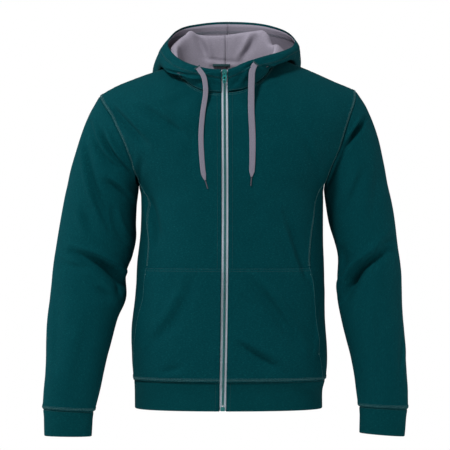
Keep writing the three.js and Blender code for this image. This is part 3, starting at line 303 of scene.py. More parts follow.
def body(turn, z):
    """The trunk at a turn (0 is the front, 90 degrees the wearer's left) and a height."""
    turn, z = np.broadcast_arrays(np.asarray(turn, float), np.asarray(z, float))
    x = trunk_x(turn, z)
    share = np.clip((ridge_z(x) - z) / face_value(turn, ARCH) - 1e-6, 0, 1)
    lean = (1 - (1 - share) ** ROUND) ** (1 / ROUND)
    deep = np.where(np.cos(turn) > 0, trunk("front", z), trunk("back", z))
    return vec(x, RIDGE_Y - power(np.cos(turn), 2 / SQUARE) * deep * lean, z)


def share_turn(share):
    return np.arcsin(np.clip(power(share, SQUARE / 2), -1, 1))


def turn_at(x, z):
    return share_turn((x - trunk("centre", z)) / trunk("half", z))


def run_at(turn, z):
    """Length over the cloth from the shoulder line down."""
    drop = np.maximum(0, ridge_z(trunk_x(turn, z)) - z - 1e-4)
    arch, run = face_value(turn, ARCH), face_value(turn, ARCH_RUN)
    curved = run * np.arccos(np.clip(1 - drop / arch, 0, 1) ** (ROUND / 2)) / (math.pi / 2)
    return np.where(drop > arch, run + drop - arch, curved)


def height_at(turn, run):
    """The height that lies this length down from the shoulder line."""
    arch, whole = face_value(turn, ARCH), face_value(turn, ARCH_RUN)
    angle = np.clip(run / whole, 0, 1) * math.pi / 2
    curved = arch * (1 - np.maximum(0, np.cos(angle)) ** (2 / ROUND))
    drop = np.where(run > whole, arch + run - whole, curved)
    z = -drop
    for _ in range(12):
        z = ridge_z(trunk_x(turn, z)) - drop
    return z


print("chest, front to back:", round(float(trunk("front", -220) + trunk("back", -220))), "mm")

# %% [markdown]
# The armhole is a loop on the trunk, from the shoulder's tip to the underarm and back. The
# neckline is one too, seen from above as a squared oval. Both are lines that a panel ends on.

# %% Armholes and neckline


def make_arm(side, sign, tip, under):
    for _ in range(30):
        edge = arm_share(side, tip - under)
        tip = float(ridge_z(trunk("centre", tip) + sign * trunk("half", tip) * edge))
    return {"side": side, "sign": sign, "tip": tip, "under": under}


RIGHT = make_arm("right", -1, -67.0, -245.0)
LEFT = make_arm("left", 1, -56.0, -245.0)
ARM_FRONT = math.radians(152.0)


def armhole(arm, angle):
    """Armhole loop: 0 at the shoulder, 180 degrees at the underarm, the front half first."""
    angle = np.asarray(angle, float)
    z = arm["under"] + (arm["tip"] - arm["under"]) * (1 + np.cos(angle)) / 2
    turn = share_turn(arm_share(arm["side"], z - arm["under"]))
    return arm["sign"] * np.where(angle <= math.pi + 1e-9, turn, math.pi - turn), z


def across_at(x, z, most=1.0):
    """The share of the trunk's half width at x: 0 in the middle, 1 at the side."""
    return np.clip(np.abs((x - trunk("centre", z)) / trunk("half", z)), 0, most)


def depth_at(front, across, z):
    deep = np.where(front, trunk("front", z), trunk("back", z))
    return deep * (1 - across**SQUARE) ** (1 / SQUARE)


def on_shoulders(x, y):
    z = np.zeros(np.broadcast(x, y).shape)
    arch = np.where(y < RIDGE_Y, ARCH["front"], ARCH["back"])
    for _ in range(12):
        deep = depth_at(y < RIDGE_Y, across_at(x, z), z)
        lean = np.clip(np.abs(y - RIDGE_Y) / deep, 0, 1)
        z = ridge_z(x) - arch * (1 - (1 - lean**ROUND) ** (1 / ROUND))
    return vec(x, y, z)


def neckline(angle):
    angle = np.asarray(angle, float)
    reach = np.where(np.cos(angle) > 0, NECK["front"], NECK["back"])
    return on_shoulders(
        NECK["half"] * power(np.sin(angle), 2 / NECK["square"]),
        RIDGE_Y - reach * power(np.cos(angle), 2 / NECK["square"]),
    )


def neck_start(sign):
    angle = 0.0
    for _ in range(8):
        share = (zip_x(neckline(angle)[..., 2]) + sign * ZIP_HALF) / NECK["half"]
        angle = float(np.arcsin(power(share, NECK["square"] / 2)))
    return angle


print("armhole tips:", round(RIGHT["tip"], 1), round(LEFT["tip"], 1))

# %% [markdown]
# Each sewn piece is a grid of points between its four seams. The grid's stations crowd together
# beside the seams, where the cloth turns down into the stitching, and are wider in the middle. An
# even grid would need four times as many points for the same sharp seams.

# %% Stations of the panels
# Rows count up from the hem seam, columns out from the zip edge or from a tip of the back
POCKET_ROW, ARM_ROW, TIP_ROW = 6, 11, 20
NECK_COL, TIP_COL, BACK_COL = 4, 8, 16


def crowd(start, end, count, ends=(True, True), least=0.35):
    """Places from start to end, closer together at the ends that are named."""
    t = np.linspace(0, 1, count + 1)
    soft = t.copy()
    if ends[0] and ends[1]:
        soft = (1 - np.cos(math.pi * t)) / 2
    elif ends[0]:
        soft = 1 - np.cos(math.pi * t / 2)
    elif ends[1]:
        soft = np.sin(math.pi * t / 2)
    return start + (end - start) * mix(soft, t, least)


ROWS_LOW = crowd(0, POCKET_ROW, 46, (True, False))
ROWS_MID = crowd(POCKET_ROW, ARM_ROW, 40, (False, False))
ROWS_ARM = crowd(ARM_ROW, TIP_ROW, 64, (False, True))
ROWS = np.concatenate([ROWS_LOW[:-1], ROWS_MID[:-1], ROWS_ARM])
SIDE_ROWS = np.concatenate([ROWS_LOW[:-1], ROWS_MID])
COLS_NECK = crowd(0, NECK_COL, 38, (True, False))
COLS_SHOULDER = crowd(NECK_COL, TIP_COL, 32, (False, True))
COLS = np.concatenate([COLS_NECK[:-1], COLS_SHOULDER])
BACK_SIDE = TIP_COL - COLS_SHOULDER[::-1]
BACK_NECK = NECK_COL + 4 * crowd(0, 1, 26, (False, False))
BACK_COLS = np.concatenate([
    BACK_SIDE[:-1],
    BACK_NECK[:-1],
    BACK_COL - BACK_NECK[::-1][:-1],
    BACK_COL - BACK_SIDE[::-1],
])
UNDER = crowd(0, 4, 30)
UNDER_ANGLES = mix(ARM_FRONT, 2 * math.pi - ARM_FRONT, UNDER / 4)


def arm_angle(rows):
    """The armhole's angle at the rows of a front or back panel."""
    return ARM_FRONT * (TIP_ROW - rows) / (TIP_ROW - ARM_ROW)


ARM_ANGLES = arm_angle(ROWS_ARM[::-1])
RING = np.concatenate(
    [ARM_ANGLES[:-1], UNDER_ANGLES[:-1], (2 * math.pi - ARM_ANGLES[1:])[::-1]]
)
print("rows and columns of a front:", len(ROWS), len(COLS), " points round a sleeve:", len(RING))

# %% [markdown]
# A side panel runs from hem to underarm. Its two seams bow in at the waist, so they are drawn by
# a table, and near the arm they swing out to meet the armhole.

# %% Seam lines of the panels


def body_height(arm, row):
    low = armhole(arm, ARM_FRONT)[1]
    below = mix(HEM_SEAM_Z, POCKET_TOP_Z, row / POCKET_ROW)
    above = mix(POCKET_TOP_Z, low, (row - POCKET_ROW) / (ARM_ROW - POCKET_ROW))
    return np.where(row <= POCKET_ROW, below, above)


def seam_turn(arm, z):
    """The side panel's seam on the front."""
    low_turn, low_z = armhole(arm, ARM_FRONT)
    top = SIDE_SEAM["z"].max()
    at_top = share_turn(side_seam(arm["side"], top))
    t = np.clip((z - top) / (low_z - top), 0, 1)
    below = share_turn(side_seam(arm["side"], z))
    return arm["sign"] * np.where(z <= top, below, mix(at_top, np.abs(low_turn), t * t))


def back_seam_turn(arm, z):
    low_turn, low_z = armhole(arm, 2 * math.pi - ARM_FRONT)
    top = SIDE_SEAM["z"].max()
    t = np.clip((z - top) / (low_z - top), 0, 1)
    return arm["sign"] * mix(BACK_SEAM_TURN, np.abs(low_turn), t * t)


print("front side seams at the hem:", [
    round(float(trunk_x(seam_turn(arm, HEM_SEAM_Z), HEM_SEAM_Z))) for arm in (RIGHT, LEFT)
])

# %% [markdown]
# A panel fills the space between its four seams. It is worked out on the unrolled cloth, where a
# place is a turn and a length down from the shoulder, and is then rolled back on to the trunk. A
# flat sheet wrapped round by a modifier would slide away from its seams.

# %% Panels


def on_cloth(turn, z):
    """A place on the trunk by its turn and its length down from the shoulder line."""
    turn, z = np.broadcast_arrays(np.asarray(turn, float), np.asarray(z, float))
    return vec(turn, run_at(turn, z))


def between(bottom, top, start, end, u, v):
    """A grid between four edges; what the top and bottom have of their own dies away."""
    u, v = u[None, :, None], v[:, None, None]
    own_low = bottom - mix(bottom[0], bottom[-1], u[0])
    own_top = top - mix(top[0], top[-1], u[0])
    flat = mix(start[:, None], end[:, None], u)
    return flat + (1 - v) ** 3 * own_low[None] + v**3 * own_top[None]


def panel_points(cloth, u):
    """Rows run level up to the pocket's top, then bend with the shoulders."""
    turn, z = cloth[..., 0], height_at(cloth[..., 0], cloth[..., 1])
    bend = np.clip((ROWS[:, None] - POCKET_ROW) / 6, 0, 1)
    level = mix(z[:, :1], z[:, -1:], u[None, :])
    return body(turn, mix(level, z, bend))


def neck_angle(sign, col):
    start = neck_start(sign)
    front = mix(start, sign * math.pi / 2, col / NECK_COL)
    return np.where(col <= NECK_COL, front, sign * math.pi / 2 * (1 + (col - NECK_COL) / 4))


def outer_edge(arm, seam, angle):
    """A panel's edge from hem to shoulder: its seam, and above it half of the armhole."""
    heights = body_height(arm, ROWS[ROWS <= ARM_ROW])
    return np.concatenate([on_cloth(seam(arm, heights), heights), on_cloth(*armhole(arm, angle))])


def front_panel(arm):
    sign = arm["sign"]
    outer = outer_edge(arm, seam_turn, arm_angle(ROWS[ROWS > ARM_ROW]))
    neck_points = neckline(neck_angle(sign, COLS_NECK))
    neck_xz = neck_points[:, 0], neck_points[:, 2]
    neck = on_cloth(turn_at(*neck_xz), neck_xz[1])
    tip_turn = armhole(arm, 0.0)[0]
    way = (COLS_SHOULDER[1:] - NECK_COL) / (TIP_COL - NECK_COL)
    shoulder = vec(mix(neck[-1, 0], tip_turn, way), 0)
    top = np.concatenate([neck, shoulder])
    top_z = height_at(neck[0, 0], neck[0, 1])
    below = mix(HEM_SEAM_Z, POCKET_TOP_Z, ROWS / POCKET_ROW)
    above = np.clip((ROWS - POCKET_ROW) / (TIP_ROW - POCKET_ROW), 0, 1)
    z = np.where(ROWS <= POCKET_ROW, below, mix(POCKET_TOP_Z, top_z, above))
    inner = on_cloth(turn_at(zip_x(z) + sign * ZIP_HALF, z), z)
    u = COLS / TIP_COL
    bottom = on_cloth(mix(inner[0, 0], outer[0, 0], u), HEM_SEAM_Z)
    return panel_points(between(bottom, top, inner, outer, u, ROWS / TIP_ROW), u)


def side_panel(arm):
    heights = body_height(arm, SIDE_ROWS)
    start, end = (vec(seam(arm, heights), heights) for seam in (seam_turn, back_seam_turn))
    top = vec(*armhole(arm, UNDER_ANGLES))
    u = UNDER / 4
    bottom = vec(mix(start[0, 0], end[0, 0], u), HEM_SEAM_Z)
    grid = between(bottom, top, start, end, u, SIDE_ROWS / ARM_ROW)
    return body(grid[..., 0], grid[..., 1])


def back_edge(arm):
    edge = outer_edge(arm, back_seam_turn, 2 * math.pi - arm_angle(ROWS[ROWS > ARM_ROW]))
    if arm["sign"] < 0:
        edge[:, 0] += 2 * math.pi
    return edge


def back_panel():
    start, end = back_edge(LEFT), back_edge(RIGHT)
    far = BACK_COL - NECK_COL
    neck_cols = BACK_COLS[(BACK_COLS >= NECK_COL) & (BACK_COLS <= far)]
    p = neckline(mix(math.pi / 2, 1.5 * math.pi, (neck_cols - NECK_COL) / (far - NECK_COL)))
    neck = on_cloth(math.pi - turn_at(p[:, 0], p[:, 2]), p[:, 2])
    left = BACK_COLS[BACK_COLS < NECK_COL] / NECK_COL
    right = (BACK_COLS[BACK_COLS > far] - far) / NECK_COL
    top = np.concatenate([
        vec(mix(start[-1, 0], neck[0, 0], left), 0),
        neck,
        vec(mix(neck[-1, 0], end[-1, 0], right), 0),
    ])
    u = BACK_COLS / BACK_COL
    bottom = on_cloth(mix(start[0, 0], end[0, 0], u), HEM_SEAM_Z)
    return panel_points(between(bottom, top, start, end, u, ROWS / TIP_ROW), u)


GRIDS = {
    "front_right": front_panel(RIGHT),
    "front_left": front_panel(LEFT),
    "side_panel_right": side_panel(RIGHT),
    "side_panel_left": side_panel(LEFT),
    "back": back_panel(),
}
for name, grid in GRIDS.items():
    print(name, grid.shape[:2], "finite:", bool(np.isfinite(grid).all()))

# %% [markdown]
# A one-piece sleeve is a tube of ovals. Each row of its table gives the outer and the inner line
# as seen from the front, with the oval's depth. Near the body the oval takes the armhole's shape.
# A circle swept along a bent curve would be quicker, but a worn sleeve isn't round.

# %% Sleeves and cuffs
SLEEVE_COLUMNS = "i outX outZ inX inZ depth y"
RIGHT_SLEEVE = table(
    SLEEVE_COLUMNS,
    (0, -247, -67, -171, -245, 74, 5),
    (1, -270, -109, -172, -257, 72, 5),
    (2, -292, -170, -175, -282, 69, 4),
    (3, -308, -232, -176, -312, 66, 3),
    (4, -320, -296, -175, -346, 64, 2),
    (5, -331, -356, -182, -378, 62, 0),
    (6, -338, -406, -194, -412, 60, -3),
    (7, -343, -458, -194, -461, 60, -8),
    (8, -347, -500, -212, -503, 57, -14),
    (9, -349, -558, -228, -564, 52, -22),
    (10, -351, -614, -241, -622, 45, -28),
    (11, -356, -674, -254, -679, 32, -33),
)
LEFT_SLEEVE = table(
    SLEEVE_COLUMNS,
    (0, 252, -56, 191, -245, 74, 5),
    (1, 276, -94, 192, -258, 71, 5),
    (2, 299, -156, 196, -284, 67, 4),
    (3, 313, -226, 202, -318, 63, 3),
    (4, 326, -292, 211, -350, 61, 2),
    (5, 335, -356, 218, -382, 59, 0),
    (6, 342, -412, 216, -420, 58, -4),
    (7, 343, -462, 216, -460, 57, -9),
    (8, 344, -500, 224, -500, 55, -14),
    (9, 348, -558, 239, -560, 50, -22),
    (10, 351, -616, 250, -618, 43, -28),
    (11, 353, -674, 256, -669, 31, -33),
)
CUFF_END = {
    "right": {"outX": -352, "outZ": -726, "inX": -260, "inZ": -727, "depth": 25, "y": -35},
    "left": {"outX": 346, "outZ": -727, "inX": 258, "inZ": -720, "depth": 25, "y": -35},
}
CUFF_TUCK = [0.965, 0.95, 0.955, 0.96]  # how far the cuff gathers the sleeve, from its seam down
SLEEVE_AT = crowd(0, 11, 138, least=0.7)
CUFF_AT = crowd(0, 3, 26, least=0.5)


def oval(value, angle):
    cx, cz = (value("outX") + value("inX")) / 2, (value("outZ") + value("inZ")) / 2
    ux, uz = (value("outX") - value("inX")) / 2, (value("outZ") - value("inZ")) / 2
    y = value("y") - value("depth") * np.sin(angle)
    return vec(cx + ux * np.cos(angle), y, cz + uz * np.cos(angle))


def sleeve_points(arm, rows, at=SLEEVE_AT):
    line = through(rows, "i")
    place, angle = at[:, None], RING[None, :]
    points = oval(lambda column: line(column, place), angle)
    loop = body(*armhole(arm, RING))
    first = oval(lambda column: line(column, np.zeros((1, 1))), angle)[0]
    keep = np.maximum(0, 1 - place / 4)[..., None] ** 2
    return points + keep * (loop - first)[None]


def cuff_points(arm, seam):
    low = CUFF_END[arm["side"]]
    bottom = oval(lambda column: low[column], RING)
    heart = seam.mean(axis=0)
    tuck = np.interp(CUFF_AT, range(4), CUFF_TUCK)
    top = mix(heart, seam[None], tuck[:, None, None])
    return mix(top, bottom[None], (CUFF_AT / 3)[:, None, None])


for arm, rows in ((RIGHT, RIGHT_SLEEVE), (LEFT, LEFT_SLEEVE)):
    side = arm["side"]
    GRIDS["sleeve_" + side] = sleeve_points(arm, rows)
    GRIDS["cuff_" + side] = cuff_points(arm, GRIDS["sleeve_" + side][-1])
print("sleeve grid:", GRIDS["sleeve_left"].shape[:2])

# %% [markdown]
# The hem band is one strip of doubled knit from one side of the zip, round the back, to the
# other. It sits a little inside the body, because it is knitted tighter and draws it in.

# %% Hem band
HEM_AT = crowd(0, 3, 28, least=0.5)
HEM_COLS = crowd(0, 1, 240, least=0.92)


def hem_points(inset=1.2):
    z = mix(HEM_SEAM_Z - SEAM, HEM_Z, HEM_AT / 3)[:, None]
    start = turn_at(zip_x(z) + ZIP_HALF, z)
    end = turn_at(zip_x(z) - ZIP_HALF, z) + 2 * math.pi
    turn = mix(start, end, HEM_COLS[None, :])
    step = 0.01
    along = body(turn + step, z) - body(turn - step, z)
    down = body(turn, z - 1) - body(turn, z + 1)
    return body(turn, z) - inset * unit(np.cross(down, along))


GRIDS["hem_band"] = hem_points()
print("hem band grid:", GRIDS["hem_band"].shape[:2])

# %% [markdown]
# The hood lies down as a bag round the neck. Every section of it runs from the neck seam up over
# an inner ridge, down into the pouch, round its bulge and up to the edge. The tables say how far
# out and up each of those stands as one goes round from the zip to the centre back. A cloth
# simulation could drop a hood there, but it would land in other folds each time it was tuned.

# %% Hood tables
HOOD_COLUMNS = "turn ridgeOut ridgeUp lowOut lowUp bulgeOut bulgeUp"
HOOD = {
    "right": table(
        HOOD_COLUMNS,
        (0, 1, 13, 1.5, 20, 2, 33),
        (14, 3, 15, 5, 20, 8, 31),
        (40, 4, 17, 13, 14, 17, 22),
        (62, 3, 20, 24, 3, 28, 11),
        (84, 1, 25, 26, -3, 31, 7),
        (106, 3, 43, 35, -18, 42, -2),
        (124, 3, 61, 52, -58, 66, -26),
        (137, 4, 73, 60, -94, 79, -50),
        (143, 4, 81, 63, -106, 84, -60),
        (151, 4, 76, 66, -120, 88, -67),
        (163, 4, 74, 69, -138, 94, -79),
        (180, 4, 73, 70, -146, 97, -84),
    ),
    "left": table(
        HOOD_COLUMNS,
        (0, 1, 13, 1.5, 20, 2, 33),
        (14, 3, 16, 6, 23, 9, 34),
        (40, 4, 20, 14, 19, 18, 27),
        (62, 3, 19, 24, 9, 29, 18),
        (84, 1, 22, 32, -2, 37, 10),
        (106, 3, 29, 42, -18, 50, -2),
        (122, 3, 34, 51, -54, 64, -24),
        (128, 3, 41, 55, -72, 71, -36),
        (135, 4, 60, 59, -90, 78, -48),
        (141, 4, 69, 62, -102, 82, -56),
        (149, 4, 71, 66, -118, 88, -66),
        (163, 4, 73, 69, -138, 94, -79),
        (180, 4, 73, 70, -146, 97, -84),
    ),
}
RIM = table(
    "turn x y z",
    (-215, 72, 110, 83),
    (-180, 5, 122, 88),
    (-152, -48, 116, 84),
    (-122, -92, 83, 71),
    (-93, -114, 14, 40),
    (-75, -107, -32, 20),
    (-58, -91, -68, 3),
    (-40, -68, -91, -9),
    (-20, -36, -103, -18),
    (-4, -9, -106, -20),
    (4, 7.5, -106, -20),
    (18, 30, -104, -9),
    (40, 69, -97, 4),
    (62, 110, -66, 18),
    (80, 130, -22, 30),
    (95, 135, 18, 44),
    (120, 117, 78, 67),
    (145, 72, 110, 83),
    (180, 5, 122, 88),
    (208, -48, 116, 84),
)
HOOD_AT = HOOD_COLS = crowd(0, 8, 92, least=0.75)
print("hood sections:", {side: len(rows["turn"]) for side, rows in HOOD.items()})

# %% [markdown]
# Each section is a smooth curve through nine knots. Knots that would touch the shoulders are
# pushed out until they stand clear, so the hood rests on the body with no cloth inside cloth.

# %% Hood surface
rim_line = through(RIM, "turn")


def rim(turn):
    return vec(*(rim_line(axis, turn) for axis in "xyz"))


def beyond(p):
    """Grows from 0 at the trunk's surface outwards."""
    x, y, z = p[..., 0], p[..., 1], p[..., 2]
    front = y < RIDGE_Y
    deep = depth_at(front, across_at(x, z, 0.999), z)
    share = (ridge_z(x) - z) / np.where(front, ARCH["front"], ARCH["back"])
    rise = np.where(share > 1, 0, np.abs(1 - share) ** ROUND)
    return (np.abs(y - RIDGE_Y) / deep) ** ROUND + rise - 1


def clear_of(points, clear):
    """Pushes points out of the trunk until they stand clear of it."""
    p = points.copy()
    for _ in range(4):
        value = beyond(p)
        slope = np.stack([beyond(p + axis) - value for axis in np.eye(3)], axis=-1)
        steep = np.maximum(np.linalg.norm(slope, axis=-1), 1e-9)
        push = np.clip(clear - value / steep, 0, 20)
        p = p + (push / steep)[..., None] * slope
    return p


def catmull(knots, step):
    """Centripetal Catmull-Rom through knots (K, ..., 3) at one place from 0 to K - 1."""
    last = len(knots) - 1
    i = min(int(step), last - 1)
    w = step - i
    p1, p2 = knots[i], knots[i + 1]
    p0 = knots[i - 1] if i > 0 else 2 * knots[0] - knots[1]
    p3 = knots[i + 2] if i < last - 1 else 2 * knots[last] - knots[last - 1]
    pairs = ((p0, p1), (p1, p2), (p2, p3))
    gap = [np.sum((b - a) ** 2, axis=-1, keepdims=True) ** 0.25 for a, b in pairs]
    d1 = np.where(gap[1] < 1e-4, 1, gap[1])
    d0 = np.where(gap[0] < 1e-4, d1, gap[0])
    d2 = np.where(gap[2] < 1e-4, d1, gap[2])
    m1 = ((p1 - p0) / d0 - (p2 - p0) / (d0 + d1) + (p2 - p1) / d1) * d1
    m2 = ((p2 - p1) / d1 - (p3 - p1) / (d1 + d2) + (p3 - p2) / d2) * d1
    return (
        p1 + m1 * w + (3 * (p2 - p1) - 2 * m1 - m2) * w**2 + (2 * (p1 - p2) + m1 + m2) * w**3
    )


HOOD_FORM = {"start": 0.8, "rise": 1.5, "steep": (8, 4), "over": 0.36, "tuck": 6, "wall": (3, 5)}


def hood_knots(angle):
    """Nine knots of each section: the seam, the ridge, the pouch, the bulge and the rim."""
    turn = np.degrees(angle)
    side = through(HOOD["right" if np.mean(turn) < 0 else "left"], "turn")
    value = {c: side(c, np.abs(turn))[:, None] for c in HOOD_COLUMNS.split()[1:]}
    reach = np.where(np.cos(angle) > 0, NECK["front"], 1.6 * NECK["back"])
    out = unit(vec(NECK["half"] * np.sin(angle), -reach * np.cos(angle), 0))
    up = np.array([0.0, 0.0, 1.0])
    seam = neckline(angle)
    low = clear_of(seam + out * value["lowOut"] + up * value["lowUp"], HOOD_CLEAR)
    bulge = low + out * (value["bulgeOut"] - value["lowOut"])
    bulge = bulge + up * (value["bulgeUp"] - value["lowUp"])
    top = seam + out * value["ridgeOut"] + up * value["ridgeUp"]
    deep = np.clip((value["ridgeUp"] - value["lowUp"] - 10) / 40, 0, 1)
    steep_out, steep_down = HOOD_FORM["steep"]
    steep = top + out * steep_out - up * steep_down
    over = mix(mix(top, low, HOOD_FORM["over"]), steep, deep)
    inside = mix(over, low, 0.5) - out * HOOD_FORM["tuck"] * deep
    lifted = seam + up * HOOD_FORM["start"]
    rise = mix(lifted, top, 0.5) - out * HOOD_FORM["rise"] * deep
    edge = rim(turn)
    wall, wall_deep = HOOD_FORM["wall"]
    wall = mix(bulge, edge, 0.5) + out * (wall + wall_deep * deep)
    free = [clear_of(p, HOOD_CLEAR) for p in (over, inside, low, bulge, wall)]
    return np.stack([lifted, rise, top, *free, edge])


def hood_points(sign):
    knots = hood_knots(neck_angle(sign, HOOD_COLS))
    rows = []
    for step in HOOD_AT:
        row = catmull(knots, step)
        held = np.clip((step - 2.2) / 0.6, 0, 1)
        row = mix(row, clear_of(row, HOOD_CLEAR * 0.8), held)
        by_zip = np.clip(1 - HOOD_COLS / 0.5, 0, 1)
        row[:, 0] = mix(row[:, 0], zip_x(row[:, 2]) + sign * ZIP_HALF, by_zip)
        rows.append(row)
    return np.stack(rows)


HOOD_GRIDS = {"right": hood_points(-1), "left": hood_points(1)}
hood_top = float(HOOD_GRIDS["left"][..., 2].max())
print("hood grid:", HOOD_GRIDS["left"].shape[:2], "top:", round(hood_top, 1))

# %% [markdown]
# Folds are what make cloth look like cloth. Each row below is one fold, drawn as seen from the
# front (or through the garment, for the back): where it starts, bends and ends, how deep its trough
# is, how wide, and how high the lip is that stands up on its right-hand side (a negative lip stands
# on the left). A fold only pushes the cloth along its own normal. A cloth simulation makes folds by
# itself, but not the ones that this garment was photographed with.

# %% Folds of the trunk and the hood
FOLDS = {}


def lay_folds(name, *rows):
    FOLDS[name] = table("x0 z0 x1 z1 x2 z2 depth width lip", *rows)


lay_folds(
    "front",
    (-152, -262, -140, -300, -131, -356, 10, 9, 2.4),
    (112, -295, 141, -374, 154, -419, 7, 9, 1.8),
    (14, -540, 65, -570, 98, -590, 9, 10, -3),
    (-63, -422, -90, -505, -144, -546, 5.5, 14, 2.2),
    (-222, -88, -192, -120, -150, -166, 10, 9, -3.4),
    (-167, -88, -128, -106, -84, -144, 9, 9, -3),
    (-138, -340, -136, -352, -133, -366, 3, 6, -0.6),
    (-122, -600, -105, -597, -86, -592, 4, 8, 1.2),
    (184, -480, 186, -530, 177, -577, 5, 7, 1),
    (49, -424, 84, -462, 141, -552, 8, 12, -3),
    (60, -60, 78, -78, 112, -84, 2.4, 11, -0.6),
    (-60, -62, -92, -84, -140, -92, 2.4, 11, 0.6),
    (-40, -70, -58, -130, -70, -210, 2, 20, 0.6),
    (44, -230, 62, -330, 88, -395, 2.2, 22, -0.6),
    (-170, -420, -150, -470, -152, -540, 2.6, 14, 0.8),
    (150, -150, 168, -190, 178, -232, 3.4, 9, -1.2),
    (-160, -185, -168, -215, -172, -243, 3.4, 8, 1.2),
    (24, -452, 44, -470, 60, -474, 2.2, 8, -0.6),
    (-120, -442, -96, -448, -70, -440, 2, 12, 0.6),
)
lay_folds(
    "back",
    (-150, -300, -90, -340, -30, -352, 5, 18, 1.2),
    (150, -305, 95, -350, 35, -368, 5, 18, -1.2),
    (-120, -560, -20, -582, 90, -556, 4, 16, 1),
    (-172, -200, -140, -250, -96, -286, 3.5, 14, 1),
    (172, -196, 138, -244, 90, -280, 3.5, 14, -1),
    (-150, -420, -80, -452, 0, -446, 3, 18, 0.8),
    (156, -440, 96, -470, 20, -480, 3, 20, -0.8),
    (-60, -170, -30, -230, -24, -300, 1.8, 26, 0),
    (70, -168, 50, -240, 46, -310, 1.8, 26, 0),
    (-165, -520, -120, -548, -70, -596, 2.6, 14, 0.8),
    (165, -530, 130, -566, 84, -604, 2.6, 14, -0.8),
)
lay_folds(
    "hood_front",
    (-133, -15, -92, -33, -46, -34, 4.5, 3.6, 1.6),
    (-46, -29, -36, -25, -26, -24, 3, 3, 0.8),
    (-32, -33, -30, -48, -18, -59, 3, 5, 0.8),
    (62, -11, 40, -10, 32, -26, 5, 4, -1.4),
    (33, -24, 30, -38, 16, -52, 4, 4.5, -1),
    (66, -12, 86, -22, 128, -12, 4.5, 3.6, -1.6),
    (-88, -45, -70, -58, -44, -66, 1.4, 4, 0),
    (100, 2, 84, -2, 70, -6, 2, 5, 0),
    (-118, 22, -108, 2, -92, -14, 1.6, 6, 0),
)
lay_folds(
    "hood_lining",
    (-60, 60, -44, 36, -38, 8, 6, 8.5, -2.6),
    (61, 60, 51, 38, 30, 6, 6, 8.5, 2.6),
    (-50, 12, -12, 6, 38, 3, 2.6, 2.4, 0),
    (-40, 3, -10, -3, 34, -5, -2.6, 4, 0),
    (-12, 50, -8, 30, -14, 10, 1.2, 9, 0),
    (24, 58, 22, 40, 30, 24, 1.6, 10, 0),
    (-98, 30, -88, 12, -70, -4, 1.4, 8, 0),
    (92, 26, 84, 10, 66, -4, 1.4, 8, 0),
)
print("folds of the trunk and the hood:", list(FOLDS))

# %% [markdown]
# A worn sleeve breaks at the elbow and is drawn in under the arm, so its deepest folds lie there.

# %% Folds of the sleeves
lay_folds(
    "sleeve_right_front",
    (-295, -370, -209, -396, -199, -434, 18, 11, -4.4),
    (-262, -372, -232, -392, -206, -408, 6, 8, -1),
    (-249, -438, -234, -446, -220, -463, 6, 7, -1.6),
    (-272, -147, -267, -246, -221, -331, 8, 8, 2.6),
    (-265, -117, -247, -190, -205, -211, 9, 7, -3),
    (-240, -137, -225, -187, -174, -228, 10, 8, -3.4),
    (-218, -285, -213, -329, -189, -353, 7, 8, -2.2),
    (-278, -289, -272, -314, -257, -337, 5, 9, 1.6),
    (-232, -233, -212, -243, -188, -268, 8, 9, -2.8),
    (-322, -390, -290, -402, -252, -398, 4, 9, -1.2),
    (-208, -430, -204, -442, -201, -456, 5, 6, -0.8),
    (-330, -440, -326, -520, -330, -600, 2.8, 13, 0.6),
    (-262, -500, -282, -560, -284, -630, 2.8, 16, 0.8),
)
lay_folds(
    "sleeve_left_front",
    (315, -366, 240, -393, 224, -467, 21, 11, 5),
    (266, -113, 254, -131, 230, -164, 16, 5.5, 3.6),
    (232, -160, 208, -186, 194, -240, 12, 6, 3.2),
    (262, -384, 244, -404, 238, -440, 6, 8, 1.2),
    (342, -521, 341, -560, 336, -617, 3.4, 5, -1.4),
    (300, -170, 292, -250, 280, -320, 2.6, 16, 0.8),
    (224, -360, 232, -392, 224, -420, 4, 7, 0.8),
    (292, -460, 300, -540, 296, -620, 2.6, 16, 0.8),
    (330, -330, 312, -352, 286, -366, 4, 9, 1.4),
    (268, -206, 248, -250, 230, -300, 3.4, 10, 1.2),
)
lay_folds(
    "sleeve_right_back",
    (-330, -352, -280, -372, -232, -404, 9, 14, 1.4),
    (-336, -420, -288, -440, -238, -436, 7, 14, 1.2),
    (-290, -150, -262, -196, -214, -236, 6, 12, 1.2),
    (-306, -230, -262, -262, -210, -290, 4, 14, 1),
    (-316, -500, -296, -560, -300, -630, 2.4, 18, 0),
)
lay_folds(
    "sleeve_left_back",
    (330, -352, 280, -372, 232, -404, 9, 14, -1.4),
    (336, -420, 288, -440, 238, -436, 7, 14, -1.2),
    (296, -150, 264, -190, 220, -232, 6, 12, -1.2),
    (308, -236, 270, -270, 226, -300, 4, 14, -1),
    (312, -500, 300, -560, 304, -630, 2.4, 18, 0),
)
print("folds:", {name: len(rows["x0"]) for name, rows in FOLDS.items()})

# %% [markdown]
# Across a fold the cloth sinks into a trough and stands up in a lip beside it. The side with the
# lip is steep, as where one fold laps over the next, and the other side is gentle.

# %% How a fold moves the cloth
STEEP, EVEN, GENTLE = 0.52, 0.85, 1.1
LIP = {"height": 1.7, "away": 1.25, "wide": 0.6}


